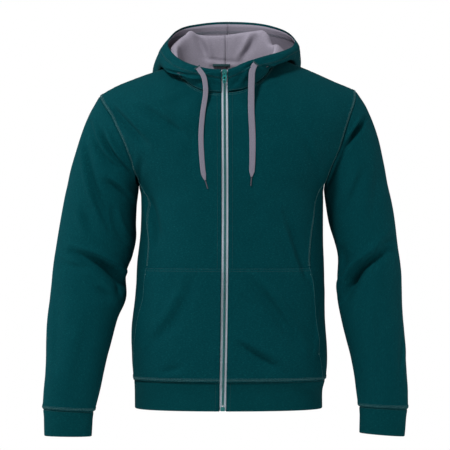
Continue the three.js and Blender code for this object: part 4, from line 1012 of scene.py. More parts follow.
def fold_relief(folds, x, z, pieces=18):
    """How far a set of folds moves the cloth out (+) or in (-) at places x, z."""
    relief = np.zeros(np.shape(x))
    t = np.linspace(0, 1, pieces + 1)
    for k in range(len(folds["x0"])):
        f = {name: column[k] for name, column in folds.items()}
        px = (1 - t) ** 2 * f["x0"] + 2 * t * (1 - t) * f["x1"] + t**2 * f["x2"]
        pz = (1 - t) ** 2 * f["z0"] + 2 * t * (1 - t) * f["z1"] + t**2 * f["z2"]
        reach = 3.2 * f["width"] + abs(f["lip"])
        near = (x > px.min() - reach) & (x < px.max() + reach)
        near &= (z > pz.min() - reach) & (z < pz.max() + reach)
        if not near.any():
            continue
        qx, qz = x[near][:, None], z[near][:, None]
        dx, dz = np.diff(px)[None], np.diff(pz)[None]
        along = np.clip(((qx - px[:-1]) * dx + (qz - pz[:-1]) * dz) / (dx**2 + dz**2), 0, 1)
        ax, az = qx - px[:-1] - along * dx, qz - pz[:-1] - along * dz
        away = np.hypot(ax, az)
        best = np.argmin(away, axis=1)
        pick = np.arange(len(best)), best
        place = (best + along[pick]) / pieces
        side = np.sign((dz * ax - dx * az)[pick])
        d = away[pick]
        ends = np.sin(math.pi * mix(0.04, 0.96, place)) ** 0.75
        facing = side * np.sign(f["lip"])
        wide = f["width"] * np.where(facing > 0, STEEP, np.where(facing < 0, GENTLE, EVEN))
        trough = f["depth"] * bell(d, wide)
        lip = bell(facing * d / f["width"] - LIP["away"], LIP["wide"])
        lip = LIP["height"] * abs(f["lip"]) * lip
        relief[near] += ends * (lip - trough)
    return relief


def lattice_noise(x, z, size, seed):
    """Smooth noise from -1 to 1 over places x, z, with hills about one size apart."""
    values = np.random.default_rng(seed).uniform(-1, 1, (64, 64))
    gx, gz = x / size, z / size
    ix, iz = np.floor(gx).astype(int), np.floor(gz).astype(int)
    fx, fz = gx - ix, gz - iz
    fx, fz = fx * fx * (3 - 2 * fx), fz * fz * (3 - 2 * fz)

    def corner(a, b):
        return values[(ix + a) % 64, (iz + b) % 64]

    low = mix(corner(0, 0), corner(1, 0), fx)
    return mix(low, mix(corner(0, 1), corner(1, 1), fx), fz)


def slack(x, z, seed):
    """The gentle unevenness of cloth that hangs."""
    wide = 1.1 * lattice_noise(x + 0.4 * z, z, 58, seed)
    return wide + 0.45 * lattice_noise(x - 0.5 * z, z * 0.8, 24, seed + 1)


spots = np.linspace(-150.0, 150.0, 61)
most = float(np.abs(slack(spots, -200.0, 11)).max())
print("slack across the chest, up to:", round(most, 1), "mm")

# %% [markdown]
# A seam shows as a narrow groove where two pieces turn down to meet. Beside some seams the
# allowance lies flat underneath and is held by two rows of stitching, which raises a band about
# 8 mm wide. Both are worked out from each point's distance to the edges of its piece. A free edge
# has no groove: its wall thins to a round lip, as a folded edge does.

# %% Seams of a piece
PUCKER = 0.16
BAND_WIDE = 8.0


def closed(grid, tube):
    """A tube's grid with its first column once more at the end."""
    return np.concatenate([grid, grid[:, :1]], axis=1) if tube else grid


def edge_distance(grid, tube):
    """Distance over the cloth from each of a grid's four edges, in millimetres."""
    down = np.linalg.norm(np.diff(grid, axis=0), axis=-1)
    across = np.linalg.norm(np.diff(grid, axis=1), axis=-1)
    v = np.concatenate([0 * down[:1], np.cumsum(down, axis=0)])
    u = np.concatenate([0 * across[:, :1], np.cumsum(across, axis=1)], axis=1)
    far = np.full(v.shape, 1e6)
    return {
        "first": v,
        "last": v[-1:] - v,
        "start": far if tube else u,
        "end": far if tube else u[:, -1:] - u,
        "u": u,
        "v": v,
    }


def raised_of(d, along, spec):
    band = spec["band"] * (1 - step_up(BAND_WIDE, BAND_WIDE + 1.4, d))
    wave = np.sin(2 * math.pi * along / 13 + 2.2 * np.sin(along / 37))
    return band + PUCKER * wave * bell(d - 5, 7)


def piece_relief(grid, tube, seams):
    """The deepest groove and the sum of the raised bands of a piece's seams."""
    far = edge_distance(grid, tube)
    groove = np.zeros(grid.shape[:2])
    raised = np.zeros(grid.shape[:2])
    nearest = np.full(grid.shape[:2], 1e6)
    for edge, spec in seams.items():
        along = far["u"] if edge in ("first", "last") else far["v"]
        groove = np.maximum(groove, spec["groove"] * bell(far[edge], spec["narrow"]))
        raised = np.maximum(raised, raised_of(far[edge], along, spec))
        nearest = np.minimum(nearest, far[edge])
    return raised * step_up(0.3, 1.6, nearest) - groove


def round_edges(grid, tube, free, radius=1.6):
    """How much of its thickness a wall keeps near its free edges."""
    far = edge_distance(grid, tube)
    keep = np.ones(grid.shape[:2])
    for edge in free:
        t = np.clip(far[edge] / radius, 0, 1)
        keep = np.minimum(keep, np.sqrt(np.maximum(1 - (1 - t) ** 2, 0.02)))
    return keep


hem_wide = edge_distance(GRIDS["front_left"], False)["u"][0, -1]
print("left front, zip to side seam at the hem:", round(float(hem_wide)), "mm")

# %% [markdown]
# Pieces that are sewn together share one normal along their seam, so that their walls meet there
# with no crack. The normals of each grid are summed from its faces, and then edge points that lie
# at the same place add theirs together. Blender's own smooth shading stops at the end of a mesh.

# %% Shared normals


def grid_normals(grid, tube, sign):
    p = closed(grid, tube)
    face = np.cross(p[1:, 1:] - p[:-1, :-1], p[1:, :-1] - p[:-1, 1:]) * sign
    total = np.zeros(p.shape)
    for rows in (slice(None, -1), slice(1, None)):
        for cols in (slice(None, -1), slice(1, None)):
            total[rows, cols] += face
    if tube:
        total[:, 0] += total[:, -1]
        total = total[:, :-1]
    return total


def border(shape, tube):
    inside = np.zeros(shape, bool)
    inside[[0, -1], :] = True
    if not tube:
        inside[:, [0, -1]] = True
    return inside


def shared_normals(group, near=0.3):
    """Unit normals of grids that are sewn together. group holds (grid, tube, sign)."""
    sums = [grid_normals(*item) for item in group]
    masks = [border(grid.shape[:2], tube) for grid, tube, _ in group]
    places = np.concatenate([grid[m] for (grid, _, _), m in zip(group, masks)])
    own = unit(np.concatenate([s[m] for s, m in zip(sums, masks)]))
    joined = np.empty_like(own)
    for first in range(0, len(places), 400):
        gap = np.linalg.norm(places[first : first + 400, None] - places[None], axis=-1)
        joined[first : first + 400] = (gap < near).astype(float) @ own
    out, used = [], 0
    for s, m in zip(sums, masks):
        count = int(m.sum())
        n = unit(s)
        n[m] = unit(joined[used : used + count])
        used += count
        out.append(n)
    return out


print("points on the border of a front:", int(border(GRIDS["front_left"].shape[:2], False).sum()))

# %% [markdown]
# A wall is a closed skin: an outer grid, an inner grid and strips round the edges. A Solidify
# modifier could give a sheet its thickness, but here the wall thins to a round lip at a free edge.
# The UV map is the distance over the cloth in metres, so one knit fits every piece at real scale.

# %% Walls


def wall_faces(rows, columns, tube, flip):
    """Quads of a wall, and the row and column that each corner takes its UV from."""
    i, j = np.arange(rows - 1)[:, None], np.arange(columns if tube else columns - 1)[None]

    def quads(i, j, steps, sides, turned):
        row = np.stack([i + a + 0 * j for a, _ in steps], -1).reshape(-1, 4)
        column = np.stack([j + b + 0 * i for _, b in steps], -1).reshape(-1, 4)
        points = np.array(sides) * rows * columns + row * columns + column % columns
        way = -1 if turned else 1
        return points[:, ::way], np.stack([row, column], -1)[:, ::way]

    square, over_edge = ((0, 0), (0, 1), (1, 1), (1, 0)), (0, 1, 1, 0)
    parts = [quads(i, j, square, (side,) * 4, side == 1) for side in (0, 1)]
    along_row, along_column = ((0, 0), (0, 0), (0, 1), (0, 1)), ((0, 0), (0, 0), (1, 0), (1, 0))
    parts += [quads(r, j, along_row, over_edge, r > 0) for r in (0, rows - 1)]
    if not tube:
        parts += [quads(i, c, along_column, over_edge, c == 0) for c in (0, columns - 1)]
    faces, places = (np.concatenate(part)[:, :: -1 if flip else 1] for part in zip(*parts))
    return faces, places


def make_mesh(name, points, faces, material, loop_uvs=None):
    mesh = bpy.data.meshes.new(name)
    sides = faces.shape[1]
    mesh.vertices.add(len(points))
    mesh.vertices.foreach_set("co", (points * MM).astype(np.float32).ravel())
    mesh.loops.add(faces.size)
    mesh.loops.foreach_set("vertex_index", np.ascontiguousarray(faces, np.int32).ravel())
    mesh.polygons.add(len(faces))
    mesh.polygons.foreach_set("loop_start", np.arange(0, faces.size, sides, dtype=np.int32))
    mesh.polygons.foreach_set("use_smooth", np.ones(len(faces), bool))
    mesh.update(calc_edges=True)
    if loop_uvs is not None:
        layer = mesh.uv_layers.new(name="cloth")
        layer.uv.foreach_set("vector", loop_uvs.astype(np.float32).ravel())
    mesh.validate()
    mesh.materials.append(material)
    return put_in_scene(name, mesh)


def make_wall(name, outer, inner, tube, sign, material):
    rows, columns = outer.shape[:2]
    faces, uv_index = wall_faces(rows, columns, tube, sign < 0)
    far = edge_distance(closed(outer, tube), False)
    u = far["u"] - far["u"][:, far["u"].shape[1] // 2][:, None]
    row, column = uv_index[..., 0], uv_index[..., 1]
    uv = np.stack([u[row, column], far["v"][row, column]], -1)
    points = np.concatenate([outer.reshape(-1, 3), inner.reshape(-1, 3)])
    return make_mesh(name, points, faces, material, uv * MM)


print("faces in the wall of a front:", len(wall_faces(len(ROWS), len(COLS), False, False)[0]))

# %% [markdown]
# Where a sleeve meets the trunk nearly in line, both share one normal. Under the arm the sleeve
# turns back against the side, and there the two keep their own normals and stand a little apart.

# %% Where the sleeves meet the trunk
UNDERARM_APART = 0.5


def meet(group, normals, other, other_normals, gap):
    """Adjusts the edge normals of group for the edges of other that it is sewn to."""
    masks = [border(grid.shape[:2], tube) for grid, tube, _ in other]
    places = np.concatenate([grid[m] for (grid, _, _), m in zip(other, masks)])
    theirs = np.concatenate([n[m] for n, m in zip(other_normals, masks)])
    shifts = []
    for (grid, tube, _), own in zip(group, normals):
        edge = border(grid.shape[:2], tube)
        p, n = grid[edge], own[edge].copy()
        shift = np.zeros(grid.shape)
        nearest = np.array([np.argmin(np.sum((places - q) ** 2, axis=1)) for q in p])
        close = np.linalg.norm(places[nearest] - p, axis=1) < 0.6
        theirs_here = theirs[nearest]
        in_line = step_up(0, 0.7, np.sum(n * theirs_here, axis=1))[:, None]
        joined = unit(n + theirs_here * in_line)
        moved = theirs_here * (1 - in_line) * gap
        own[edge] = np.where(close[:, None], joined, n)
        shift[edge] = np.where(close[:, None], moved, 0)
        shifts.append(shift)
    return shifts


PANELS = ["front_right", "front_left", "side_panel_right", "side_panel_left", "back"]
SLEEVES = ["sleeve_right", "sleeve_left"]
TURNED = ["front_right", "side_panel_right", "sleeve_right", "cuff_right", "hem_band"]
SIGNS = {name: -1 for name in TURNED}  # grids whose points run the other way round
panel_group = [(GRIDS[name], False, SIGNS.get(name, 1)) for name in PANELS]
sleeve_group = [(GRIDS[name], True, SIGNS.get(name, 1)) for name in SLEEVES]
panel_normals = shared_normals(panel_group)
sleeve_normals = shared_normals(sleeve_group)
before = [n.copy() for n in panel_normals]
meet(panel_group, panel_normals, sleeve_group, sleeve_normals, 0)
sleeve_shifts = meet(sleeve_group, sleeve_normals, panel_group, before, UNDERARM_APART)
NORMALS = dict(zip(PANELS + SLEEVES, panel_normals + sleeve_normals))
SHIFTS = dict(zip(SLEEVES, sleeve_shifts))
for name in ("cuff_right", "cuff_left", "hem_band"):
    NORMALS[name] = shared_normals([(GRIDS[name], name != "hem_band", SIGNS.get(name, 1))])[0]
for name in PANELS:
    n, p = NORMALS[name], GRIDS[name]
    outward = np.sum(n * (p - [5, RIDGE_Y, 0]) * [1, 1, 0], axis=-1)
    print(name, "faces out:", round(float((outward > 0).mean()), 3))

# %% [markdown]
# The relief of a piece is its folds, its slack and its seams together. Front and back folds fade
# out towards the sides of the body, so the panels that meet there agree with each other.

# %% Relief of the body and sleeves
GROOVE = {"groove": 1.3, "narrow": 1.8, "band": 0.0}
SHALLOW = {"groove": 0.5, "narrow": 1.6, "band": 0.0}
COVERED = {"groove": 1.3, "narrow": 1.8, "band": 0.65}
ZIP_EDGE = {"groove": 0.0, "narrow": 1.8, "band": 0.5}
UNEVEN = {"body": 0.8, "bands": 0.35, "hood": 0.7}
FADE = {"shoulder": 50, "zip": 12, "beside": 22}  # where folds end, in millimetres
SEAMS = {
    "front": {"first": COVERED, "last": SHALLOW, "end": COVERED, "start": ZIP_EDGE},
    "side": {"first": COVERED, "last": GROOVE, "start": GROOVE, "end": GROOVE},
    "back": {"first": COVERED, "last": COVERED, "start": COVERED, "end": COVERED},
    "sleeve": {"first": GROOVE, "last": COVERED},
    "cuff": {"first": GROOVE},
    "hem": {"first": GROOVE},
}


def cloth_folds(points, normals, front, back):
    x, z = points[..., 0], points[..., 2]
    w_front = step_up(0.02, 0.36, -normals[..., 1])
    w_back = step_up(0.02, 0.36, normals[..., 1])
    return w_front * fold_relief(front, x, z) + w_back * fold_relief(back, x, z)


def trunk_relief(points, normals):
    x, y, z = np.moveaxis(points, -1, 0)
    high = np.clip((ridge_z(x) - z) / FADE["shoulder"], 0, 1)
    by_zip = np.clip((np.abs(x - zip_x(z)) - FADE["zip"]) / FADE["beside"], 0, 1)
    beside = np.where(y < RIDGE_Y, by_zip, 1)
    return high * beside * cloth_folds(points, normals, FOLDS["front"], FOLDS["back"])


def uneven(points, normals):
    x, y, z = np.moveaxis(points, -1, 0)
    front = 0.5 - 0.5 * np.tanh(3 * normals[..., 1])
    side = np.clip(1.3 * np.abs(normals[..., 0]) - 0.2, 0, 1)
    across = mix(slack(x, z, 21), slack(x, z, 11), front)
    return mix(across, slack(y, z, 31), side)


def is_tube(name):
    return name.startswith(("sleeve", "cuff"))


def relief_of(name, kind):
    points, normals = GRIDS[name], NORMALS[name]
    loose = UNEVEN["body"] * uneven(points, normals)
    total = loose + trunk_relief(points, normals)
    if kind == "sleeve":
        place = SLEEVE_AT[:, None] * np.ones(points.shape[:2])
        own = cloth_folds(points, normals, FOLDS[name + "_front"], FOLDS[name + "_back"])
        total = mix(total, own + loose, step_up(0.0, 0.8, place))
    if kind in ("cuff", "hem"):
        total = UNEVEN["bands"] * uneven(points, normals)
    return total + piece_relief(points, is_tube(name), SEAMS[kind])


KINDS = {name: name.split("_")[0] for name in GRIDS}
RELIEF = {name: relief_of(name, kind) for name, kind in KINDS.items()}
for name, relief in RELIEF.items():
    print(name, "relief from", round(float(relief.min()), 1), "to", round(float(relief.max()), 1))

# %% [markdown]
# A finish is a tree of nodes. These helpers add a node and feed its inputs in one line, with a
# plain value or with another node's output. The same trees could be drawn by hand in the editor.

# %% Node helpers
SOCKETS = {
    "number": "NodeSocketFloat",
    "colour": "NodeSocketColor",
    "vector": "NodeSocketVector",
    "finish": "NodeSocketMaterial",
    "shape": "NodeSocketGeometry",
}


def srgb(r, g, b):
    """A colour as a picture gives it (0 to 255), as Blender wants it."""
    out = [((v / 255 + 0.055) / 1.055) ** 2.4 if v > 10 else v / 255 / 12.92 for v in (r, g, b)]
    return (*out, 1.0)


def new_tree(kind, name, inputs, outputs):
    """A node group of a kind, Shader or Geometry, with named inputs and outputs."""
    tree = bpy.data.node_groups.new(name, kind + "NodeTree")
    for way, sockets in (("INPUT", inputs), ("OUTPUT", outputs)):
        for label, sort in sockets.items():
            tree.interface.new_socket(label, in_out=way, socket_type=SOCKETS[sort])
    return tree, tree.nodes.new("NodeGroupInput"), tree.nodes.new("NodeGroupOutput")


def feed(tree, socket, value):
    """A socket gets a plain value, or a link from another node's output."""
    if isinstance(value, bpy.types.NodeSocket):
        tree.links.new(value, socket)
    else:
        socket.default_value = value


def give(tree, node, **inputs):
    """Feeds a node's inputs by name, with an underscore for a space."""
    for name, value in inputs.items():
        feed(tree, node.inputs[name.replace("_", " ")], value)
    return node


def add(tree, kind, settings=(), **inputs):
    """A new node with its settings and what its inputs get."""
    node = tree.nodes.new(kind)
    for name, value in dict(settings).items():
        setattr(node, name, value)
    return give(tree, node, **inputs)


def calc(tree, operation, a, b):
    node = add(tree, "ShaderNodeMath", {"operation": operation})
    feed(tree, node.inputs[0], a)
    feed(tree, node.inputs[1], b)
    return node.outputs[0]
print("sockets that a group can have:", list(SOCKETS))

# %% [markdown]
# Most looks here come from a few textures: noise for fibres and clouds, waves for ribs and threads.
# Stretching the coordinates draws either of them out, and a window picks the part that shows.

# %% Textures


def scaled(tree, value, times, plus=0.0):
    more = calc(tree, "MULTIPLY", value, times)
    return calc(tree, "ADD", more, plus) if plus else more


def blend_colour(tree, share, a, b):
    node = add(tree, "ShaderNodeMix", {"data_type": "RGBA"})
    for key, value in ((0, share), (6, a), (7, b)):
        feed(tree, node.inputs[key], value)
    return node.outputs[2]


def noise(tree, vector, scale, detail=2.0, rough=0.5):
    sizes = {"Scale": scale, "Detail": detail, "Roughness": rough}
    return add(tree, "ShaderNodeTexNoise", Vector=vector, **sizes).outputs["Fac"]


def waves(tree, vector, scale, across="X", wobble=0.0):
    settings = {"bands_direction": across}
    node = add(tree, "ShaderNodeTexWave", settings, Vector=vector, Scale=scale, Distortion=wobble)
    return node.outputs["Fac"]


def stretched(tree, vector, scale, turn=0.0):
    node = add(tree, "ShaderNodeMapping", Vector=vector, Scale=scale, Rotation=(0.0, 0.0, turn))
    return node.outputs["Vector"]


def window(tree, value, low, high):
    """0 below low, 1 above high, straight between."""
    node = add(tree, "ShaderNodeMapRange", Value=value, From_Min=low, From_Max=high)
    return node.outputs["Result"]


def cloth_uv(tree):
    return add(tree, "ShaderNodeUVMap", {"uv_map": "cloth"}).outputs["UV"]


def bump(tree, shader, height, strength, distance):
    node = add(tree, "ShaderNodeBump", Strength=strength, Distance=distance, Height=height)
    tree.links.new(node.outputs["Normal"], shader.inputs["Normal"])


def new_material(name):
    material = bpy.data.materials.new(name)
    material.use_nodes = True
    tree = material.node_tree
    return material, tree, tree.nodes["Principled BSDF"]


TEAL, TEAL_BAND, TEAL_FIBRE = (0, 52, 58), (0, 51, 56), (30, 106, 110)
GREY, GREY_FIBRE = (138, 133, 146), (172, 168, 180)
print("teal as Blender wants it:", [round(v, 4) for v in srgb(*TEAL)])

# %% [markdown]
# The knit group makes what a brushed sweatshirt shows up close: fine ribs of stitches, pale fibres
# of a heathered yarn, and broad faint changes where the dye took differently. A photographed
# texture could do it too, but would repeat and blur. It reads the UV map, in metres of cloth.

# %% Knit group


def fibres(tree, uv, across, down, lean, low, high):
    """Short fibres that lean a little: 1 on a fibre, 0 between."""
    spun = noise(tree, stretched(tree, uv, (across, down, 1), lean), 1.0)
    return window(tree, spun, low, high)


def make_knit_group():
    inputs = {"Vector": "vector", "Base": "colour", "Fleck": "colour"}
    inputs |= {"Heather": "number", "Depth": "number", "Ribs": "number"}
    outputs = {"Color": "colour", "Roughness": "number", "Height": "number"}
    tree, given, out = new_tree("Shader", "knit", inputs, outputs)
    value = given.outputs
    uv = value["Vector"]
    along = fibres(tree, uv, 210, 620, 0.08, 0.55, 0.72)
    across = fibres(tree, uv, 330, 760, -0.35, 0.57, 0.74)
    fleck = calc(tree, "MAXIMUM", along, across)
    dark = fibres(tree, uv, 260, 600, 0.2, 0.52, 0.72)
    patch = noise(tree, uv, 26.0, 4.0, 0.6)
    light = calc(tree, "MULTIPLY", fleck, value["Heather"])
    light = calc(tree, "MULTIPLY", light, window(tree, patch, -0.4, 0.75))
    tone = blend_colour(tree, light, value["Base"], value["Fleck"])
    share = calc(tree, "MULTIPLY", dark, value["Depth"])
    tone = blend_colour(tree, share, tone, (0.0, 0.004, 0.006, 1))
    worn = scaled(tree, window(tree, patch, 0.4, 0.75), 0.02)
    tone = blend_colour(tree, worn, tone, value["Fleck"])
    ribs = waves(tree, stretched(tree, uv, (175, 175, 1)), 1.0, "X", 0.6)
    ribs = calc(tree, "MULTIPLY", ribs, value["Ribs"])
    fuzz = scaled(tree, noise(tree, uv, 1500.0), 0.8)
    height = calc(tree, "ADD", calc(tree, "ADD", ribs, fuzz), scaled(tree, fleck, 0.5))
    give(tree, out, Color=tone, Height=height, Roughness=scaled(tree, patch, 0.1, 0.84))
    return tree


KNIT_GROUP = make_knit_group()


def make_knit(name, base, fleck, sheen, strength=0.5, **amounts):
    """A knit: amounts are Heather, Depth and Ribs, as the group has them."""
    material, tree, shader = new_material(name)
    knit = add(tree, "ShaderNodeGroup", {"node_tree": KNIT_GROUP}, Vector=cloth_uv(tree), **amounts)
    give(tree, knit, Base=srgb(*base), Fleck=srgb(*fleck))
    give(tree, shader, Base_Color=knit.outputs["Color"], Roughness=knit.outputs["Roughness"])
    give(tree, shader, Specular_IOR_Level=0.03, Sheen_Weight=sheen, Sheen_Roughness=0.4)
    give(tree, shader, Sheen_Tint=srgb(*fleck))
    bump(tree, shader, knit.outputs["Height"], strength, 0.00035)
    return material


SWEATSHIRT = make_knit(
    "sweatshirt_knit_cloth", TEAL, TEAL_FIBRE, 0.04, Heather=0.28, Depth=0.34, Ribs=1.0
)
BAND_KNIT = make_knit(
    "band_knit_cloth", TEAL_BAND, TEAL_FIBRE, 0.04, Heather=0.22, Depth=0.28, Ribs=1.3
)
JERSEY = make_knit(
    "lining_jersey_cloth", GREY, GREY_FIBRE, 0.06, 0.35, Heather=0.35, Depth=0.12, Ribs=0.8
)
print("knits:", [knit.name for knit in (SWEATSHIRT, BAND_KNIT, JERSEY)])

# %% [markdown]
# Each cloth piece is now given its thickness and laid down as one closed wall. A piece's flat size
# is what a cutter would lay on the table for what is seen of it. The program measures the area of
# each wall.

# %% Cloth pieces
WALLS = {}


def lay_wall(name, points, normals, relief, thick, material, free=()):
    """Closed wall of a piece; keeps its faces for the stitches that follow."""
    tube = is_tube(name)
    inset = (1 - round_edges(points, tube, free)) * thick / 2
    base = points + SHIFTS.get(name, 0)
    outer = base + normals * (relief - inset)[..., None]
    inner = base + normals * (relief - thick + inset)[..., None]
    piece = make_wall(name + "_cloth", outer, inner, tube, SIGNS.get(name, 1), material)
    WALLS[name] = {"piece": piece, "outer": outer, "inner": inner, "normals": normals}
    return piece


def area_of(grid, tube):
    """Area of a grid in square metres, as the sum of its triangles."""
    p = closed(grid, tube)
    a = np.linalg.norm(np.cross(p[1:, :-1] - p[:-1, :-1], p[1:, 1:] - p[:-1, :-1]), axis=-1)
    b = np.linalg.norm(np.cross(p[1:, 1:] - p[:-1, :-1], p[:-1, 1:] - p[:-1, :-1]), axis=-1)
    return float((a + b).sum() / 2) * MM * MM


FREE = {"front": ("start",), "cuff": ("last",), "hem": ("last", "start", "end")}
for name, kind in KINDS.items():
    thick, finish = (BAND, BAND_KNIT) if kind in ("cuff", "hem") else (KNIT, SWEATSHIRT)
    free = FREE.get(kind, ())
    lay_wall(name, GRIDS[name], NORMALS[name], RELIEF[name], thick, finish, free)
    print(name, "area", round(area_of(WALLS[name]["outer"], is_tube(name)), 4), "m2")

# %% [markdown]
# The pockets are patches that lie on the fronts and are open along the side panel seam. The edge
# of a mouth is turned in and stitched, so it stands a little thicker than the rest. A pocket is
# made from the front's own points, moved out, so the two can't cut into each other.

# %% Pockets
MOUTH = {"low": -566.0, "high": -416.0, "stands": 1.5, "reach": 16, "soft": 8}
POCKET = {"welt": 0.8, "top": 0.4, "groove": 1.5, "hollow": 0.9, "sunk": 1.0, "back": 1.5}


def pocket_relief(away, z):
    """How far a patch stands off the front: its mouth, its turned edges and its slack middle."""
    edge = np.minimum(away["end"], np.minimum(away["last"], away["first"]))
    above_low = step_up(MOUTH["low"] - MOUTH["soft"], MOUTH["low"] + MOUTH["soft"], z)
    above_high = step_up(MOUTH["high"] - MOUTH["soft"], MOUTH["high"] + MOUTH["soft"], z)
    mouth = MOUTH["stands"] * (above_low * (1 - above_high)) * bell(away["end"], MOUTH["reach"])
    welt = POCKET["welt"] * step_up(0.0, 1.0, away["end"]) * (1 - step_up(5.0, 6.4, away["end"]))
    top = POCKET["top"] * (1 - step_up(6.0, 7.4, away["last"]))
    top = top - POCKET["groove"] * bell(away["last"], 1.6)
    hollow = POCKET["hollow"] * np.sin(np.clip(edge / 60, 0, 1) * math.pi / 2)
    return mouth + welt + top + hollow - POCKET["sunk"] * bell(away["first"], 3)


def lay_pocket(arm):
    name, front = "pocket_" + arm["side"], "front_" + arm["side"]
    rows = ROWS <= POCKET_ROW + 0.0001
    points, normals = GRIDS[front][rows], NORMALS[front][rows]
    away = edge_distance(points, False)
    relief = trunk_relief(points, normals) + UNEVEN["body"] * uneven(points, normals)
    relief = relief + pocket_relief(away, points[..., 2]) + KNIT + SEAM
    # Beside the zip the patch stops a little short of the front's edge
    start = POCKET["back"] / np.maximum(away["u"][:, -1:], 1)
    across = np.linspace(0, 1, points.shape[1])
    shift = (start * (1 - across[None]) ** 3)[..., None]
    points = points + np.gradient(points, axis=1) * (points.shape[1] - 1) * shift
    SIGNS[name] = SIGNS.get(front, 1)
    return lay_wall(name, points, normals, relief, KNIT, SWEATSHIRT, ("end", "last", "start"))


for arm in (RIGHT, LEFT):
    print(lay_pocket(arm).name, "laid on front_" + arm["side"])

# %% [markdown]
# The hood is two layers: the sweatshirt knit outside, and a grey jersey lining inside that stops
# just short of the rim. The drawcord's casing runs along the rim; its stitching pulls the cloth
# in and leaves the casing a little puffed.

# %% Hood layers
CASING, LINING_SHORT = 21.0, 4.4
hood_group = [(HOOD_GRIDS["right"], False, -1), (HOOD_GRIDS["left"], False, 1)]
HOOD_NORMALS = dict(zip(("right", "left"), shared_normals(hood_group, 0.5)))


def hood_relief(side, inner):
    points, normals = HOOD_GRIDS[side], HOOD_NORMALS[side]
    away = edge_distance(points, False)
    line = -0.9 * bell(away["last"] - CASING, 1.6)
    puff = 0.8 * step_up(0, 4, away["last"]) * (1 - step_up(CASING - 6, CASING, away["last"]))
    seam = -1.0 * bell(away["end"], 1.7) - 0.3 * bell(away["first"], 1.6)
    if inner:
        line, puff, seam = 0, 0, -0.3 * seam
    soft = step_up(0, 14, away["start"])
    x, z = points[..., 0], points[..., 2]
    front = step_up(0.1, 0.5, -normals[..., 1]) * fold_relief(FOLDS["hood_front"], x, z)
    # The standing wall behind the neck shows its lining, so its folds are pushed the other way
    wall = 1 - step_up(1.7, 2.1, HOOD_AT[:, None] * np.ones(points.shape[:2]))
    wall = wall * step_up(0.1, 0.5, normals[..., 1]) * -fold_relief(FOLDS["hood_lining"], x, z)
    free_rim = step_up(2, 12, away["last"])
    loose = UNEVEN["hood"] * uneven(points, normals)
    return line + puff + seam + soft * (loose + free_rim * front) + wall


def shorten(grid, last, first=0.0):
    """A grid whose rows stop short of its first and last edges."""
    far = edge_distance(grid, False)["v"]
    out = np.empty_like(grid)
    for j in range(grid.shape[1]):
        v = far[:, j]
        new = first + v / v[-1] * (v[-1] - last - first)
        out[:, j] = np.stack([np.interp(new, v, grid[:, j, k]) for k in range(3)], axis=-1)
    return out


for side, sign in (("right", -1), ("left", 1)):
    name, lining = "hood_" + side, "hood_lining_" + side
    SIGNS[name] = SIGNS[lining] = sign
    grid, normals = HOOD_GRIDS[side], HOOD_NORMALS[side]
    free = ("last", "start")
    lay_wall(name, grid, normals, hood_relief(side, False), HOOD_KNIT, SWEATSHIRT, free)
    under = grid + normals * (hood_relief(side, True) - HOOD_KNIT - SEAM)[..., None]
    flat = np.zeros(grid.shape[:2])
    lay_wall(lining, shorten(under, LINING_SHORT, 0.6), normals, flat, LINING, JERSEY, free)
    print(name, "area", round(area_of(grid, False), 4), "m2")

# %% [markdown]
# Stitches repeat along a path, so Geometry Nodes make them. A path is a thin chain of points that
# also knows which way the cloth faces. The tree resamples it at the stitch's pitch and lays one
# small rounded thread at each point, turned along the path. Threads that slant, some one way and
# some the other, look like the loops of a coverstitch.

# %% Stitch tree


def along_path(tree, given):
    """Points along the path, one pitch apart, and the turn that lays an instance on each."""
    curve = add(tree, "GeometryNodeMeshToCurve", Mesh=given.outputs["Geometry"])
    even = add(tree, "GeometryNodeResampleCurve", {"mode": "LENGTH"}, Curve=curve.outputs["Curve"])
    give(tree, even, Length=given.outputs["Pitch"])
    up = add(tree, "GeometryNodeInputNamedAttribute", {"data_type": "FLOAT_VECTOR"}, Name="up")
    tangent = add(tree, "GeometryNodeInputTangent")
    axes = {"primary_axis": "X", "secondary_axis": "Z"}
    turn = add(tree, "FunctionNodeAxesToRotation", axes, Primary_Axis=tangent.outputs["Tangent"])
    give(tree, turn, Secondary_Axis=up.outputs["Attribute"])
    return even.outputs["Curve"], turn.outputs["Rotation"]


def vector_of(tree, x, y, z):
    return add(tree, "ShaderNodeCombineXYZ", X=x, Y=y, Z=z).outputs[0]


def open_tree(name, last_size, fine):
    """A tree that lays small rounded bodies of a named size along a path."""
    sizes = ["Pitch", "Length", "Width", "Height", last_size]
    inputs = {"Geometry": "shape", **{size: "number" for size in sizes}, "Thread": "finish"}
    tree, given, out = new_tree("Geometry", name, inputs, {"Geometry": "shape"})
    path, turn = along_path(tree, given)
    ball = add(tree, "GeometryNodeMeshIcoSphere", Radius=0.5, Subdivisions=fine)
    size = vector_of(tree, *(given.outputs[key] for key in sizes[1:4]))
    lay = add(tree, "GeometryNodeInstanceOnPoints", Points=path, Instance=ball.outputs["Mesh"])
    give(tree, lay, Rotation=turn, Scale=size)
    return tree, given, out, lay.outputs["Instances"]


def close_tree(tree, given, out, shape):
    """Instances become real, smooth and get their material, because an export drops instances."""
    real = add(tree, "GeometryNodeRealizeInstances", Geometry=shape)
    smooth = add(tree, "GeometryNodeSetShadeSmooth", Geometry=real.outputs["Geometry"])
    paint = add(tree, "GeometryNodeSetMaterial", Geometry=smooth.outputs["Geometry"])
    give(tree, paint, Material=given.outputs["Thread"])
    give(tree, out, Geometry=paint.outputs["Geometry"])
    return tree


def make_stitch_tree():
    tree, given, out, threads = open_tree("stitch_row", "Slant", 1)
    slant = vector_of(tree, 0.0, 0.0, given.outputs["Slant"])
    spin = add(tree, "GeometryNodeRotateInstances", Instances=threads, Rotation=slant)
    return close_tree(tree, given, out, spin.outputs["Instances"])


STITCH_TREE = make_stitch_tree()
print("stitch tree nodes:", len(STITCH_TREE.nodes))

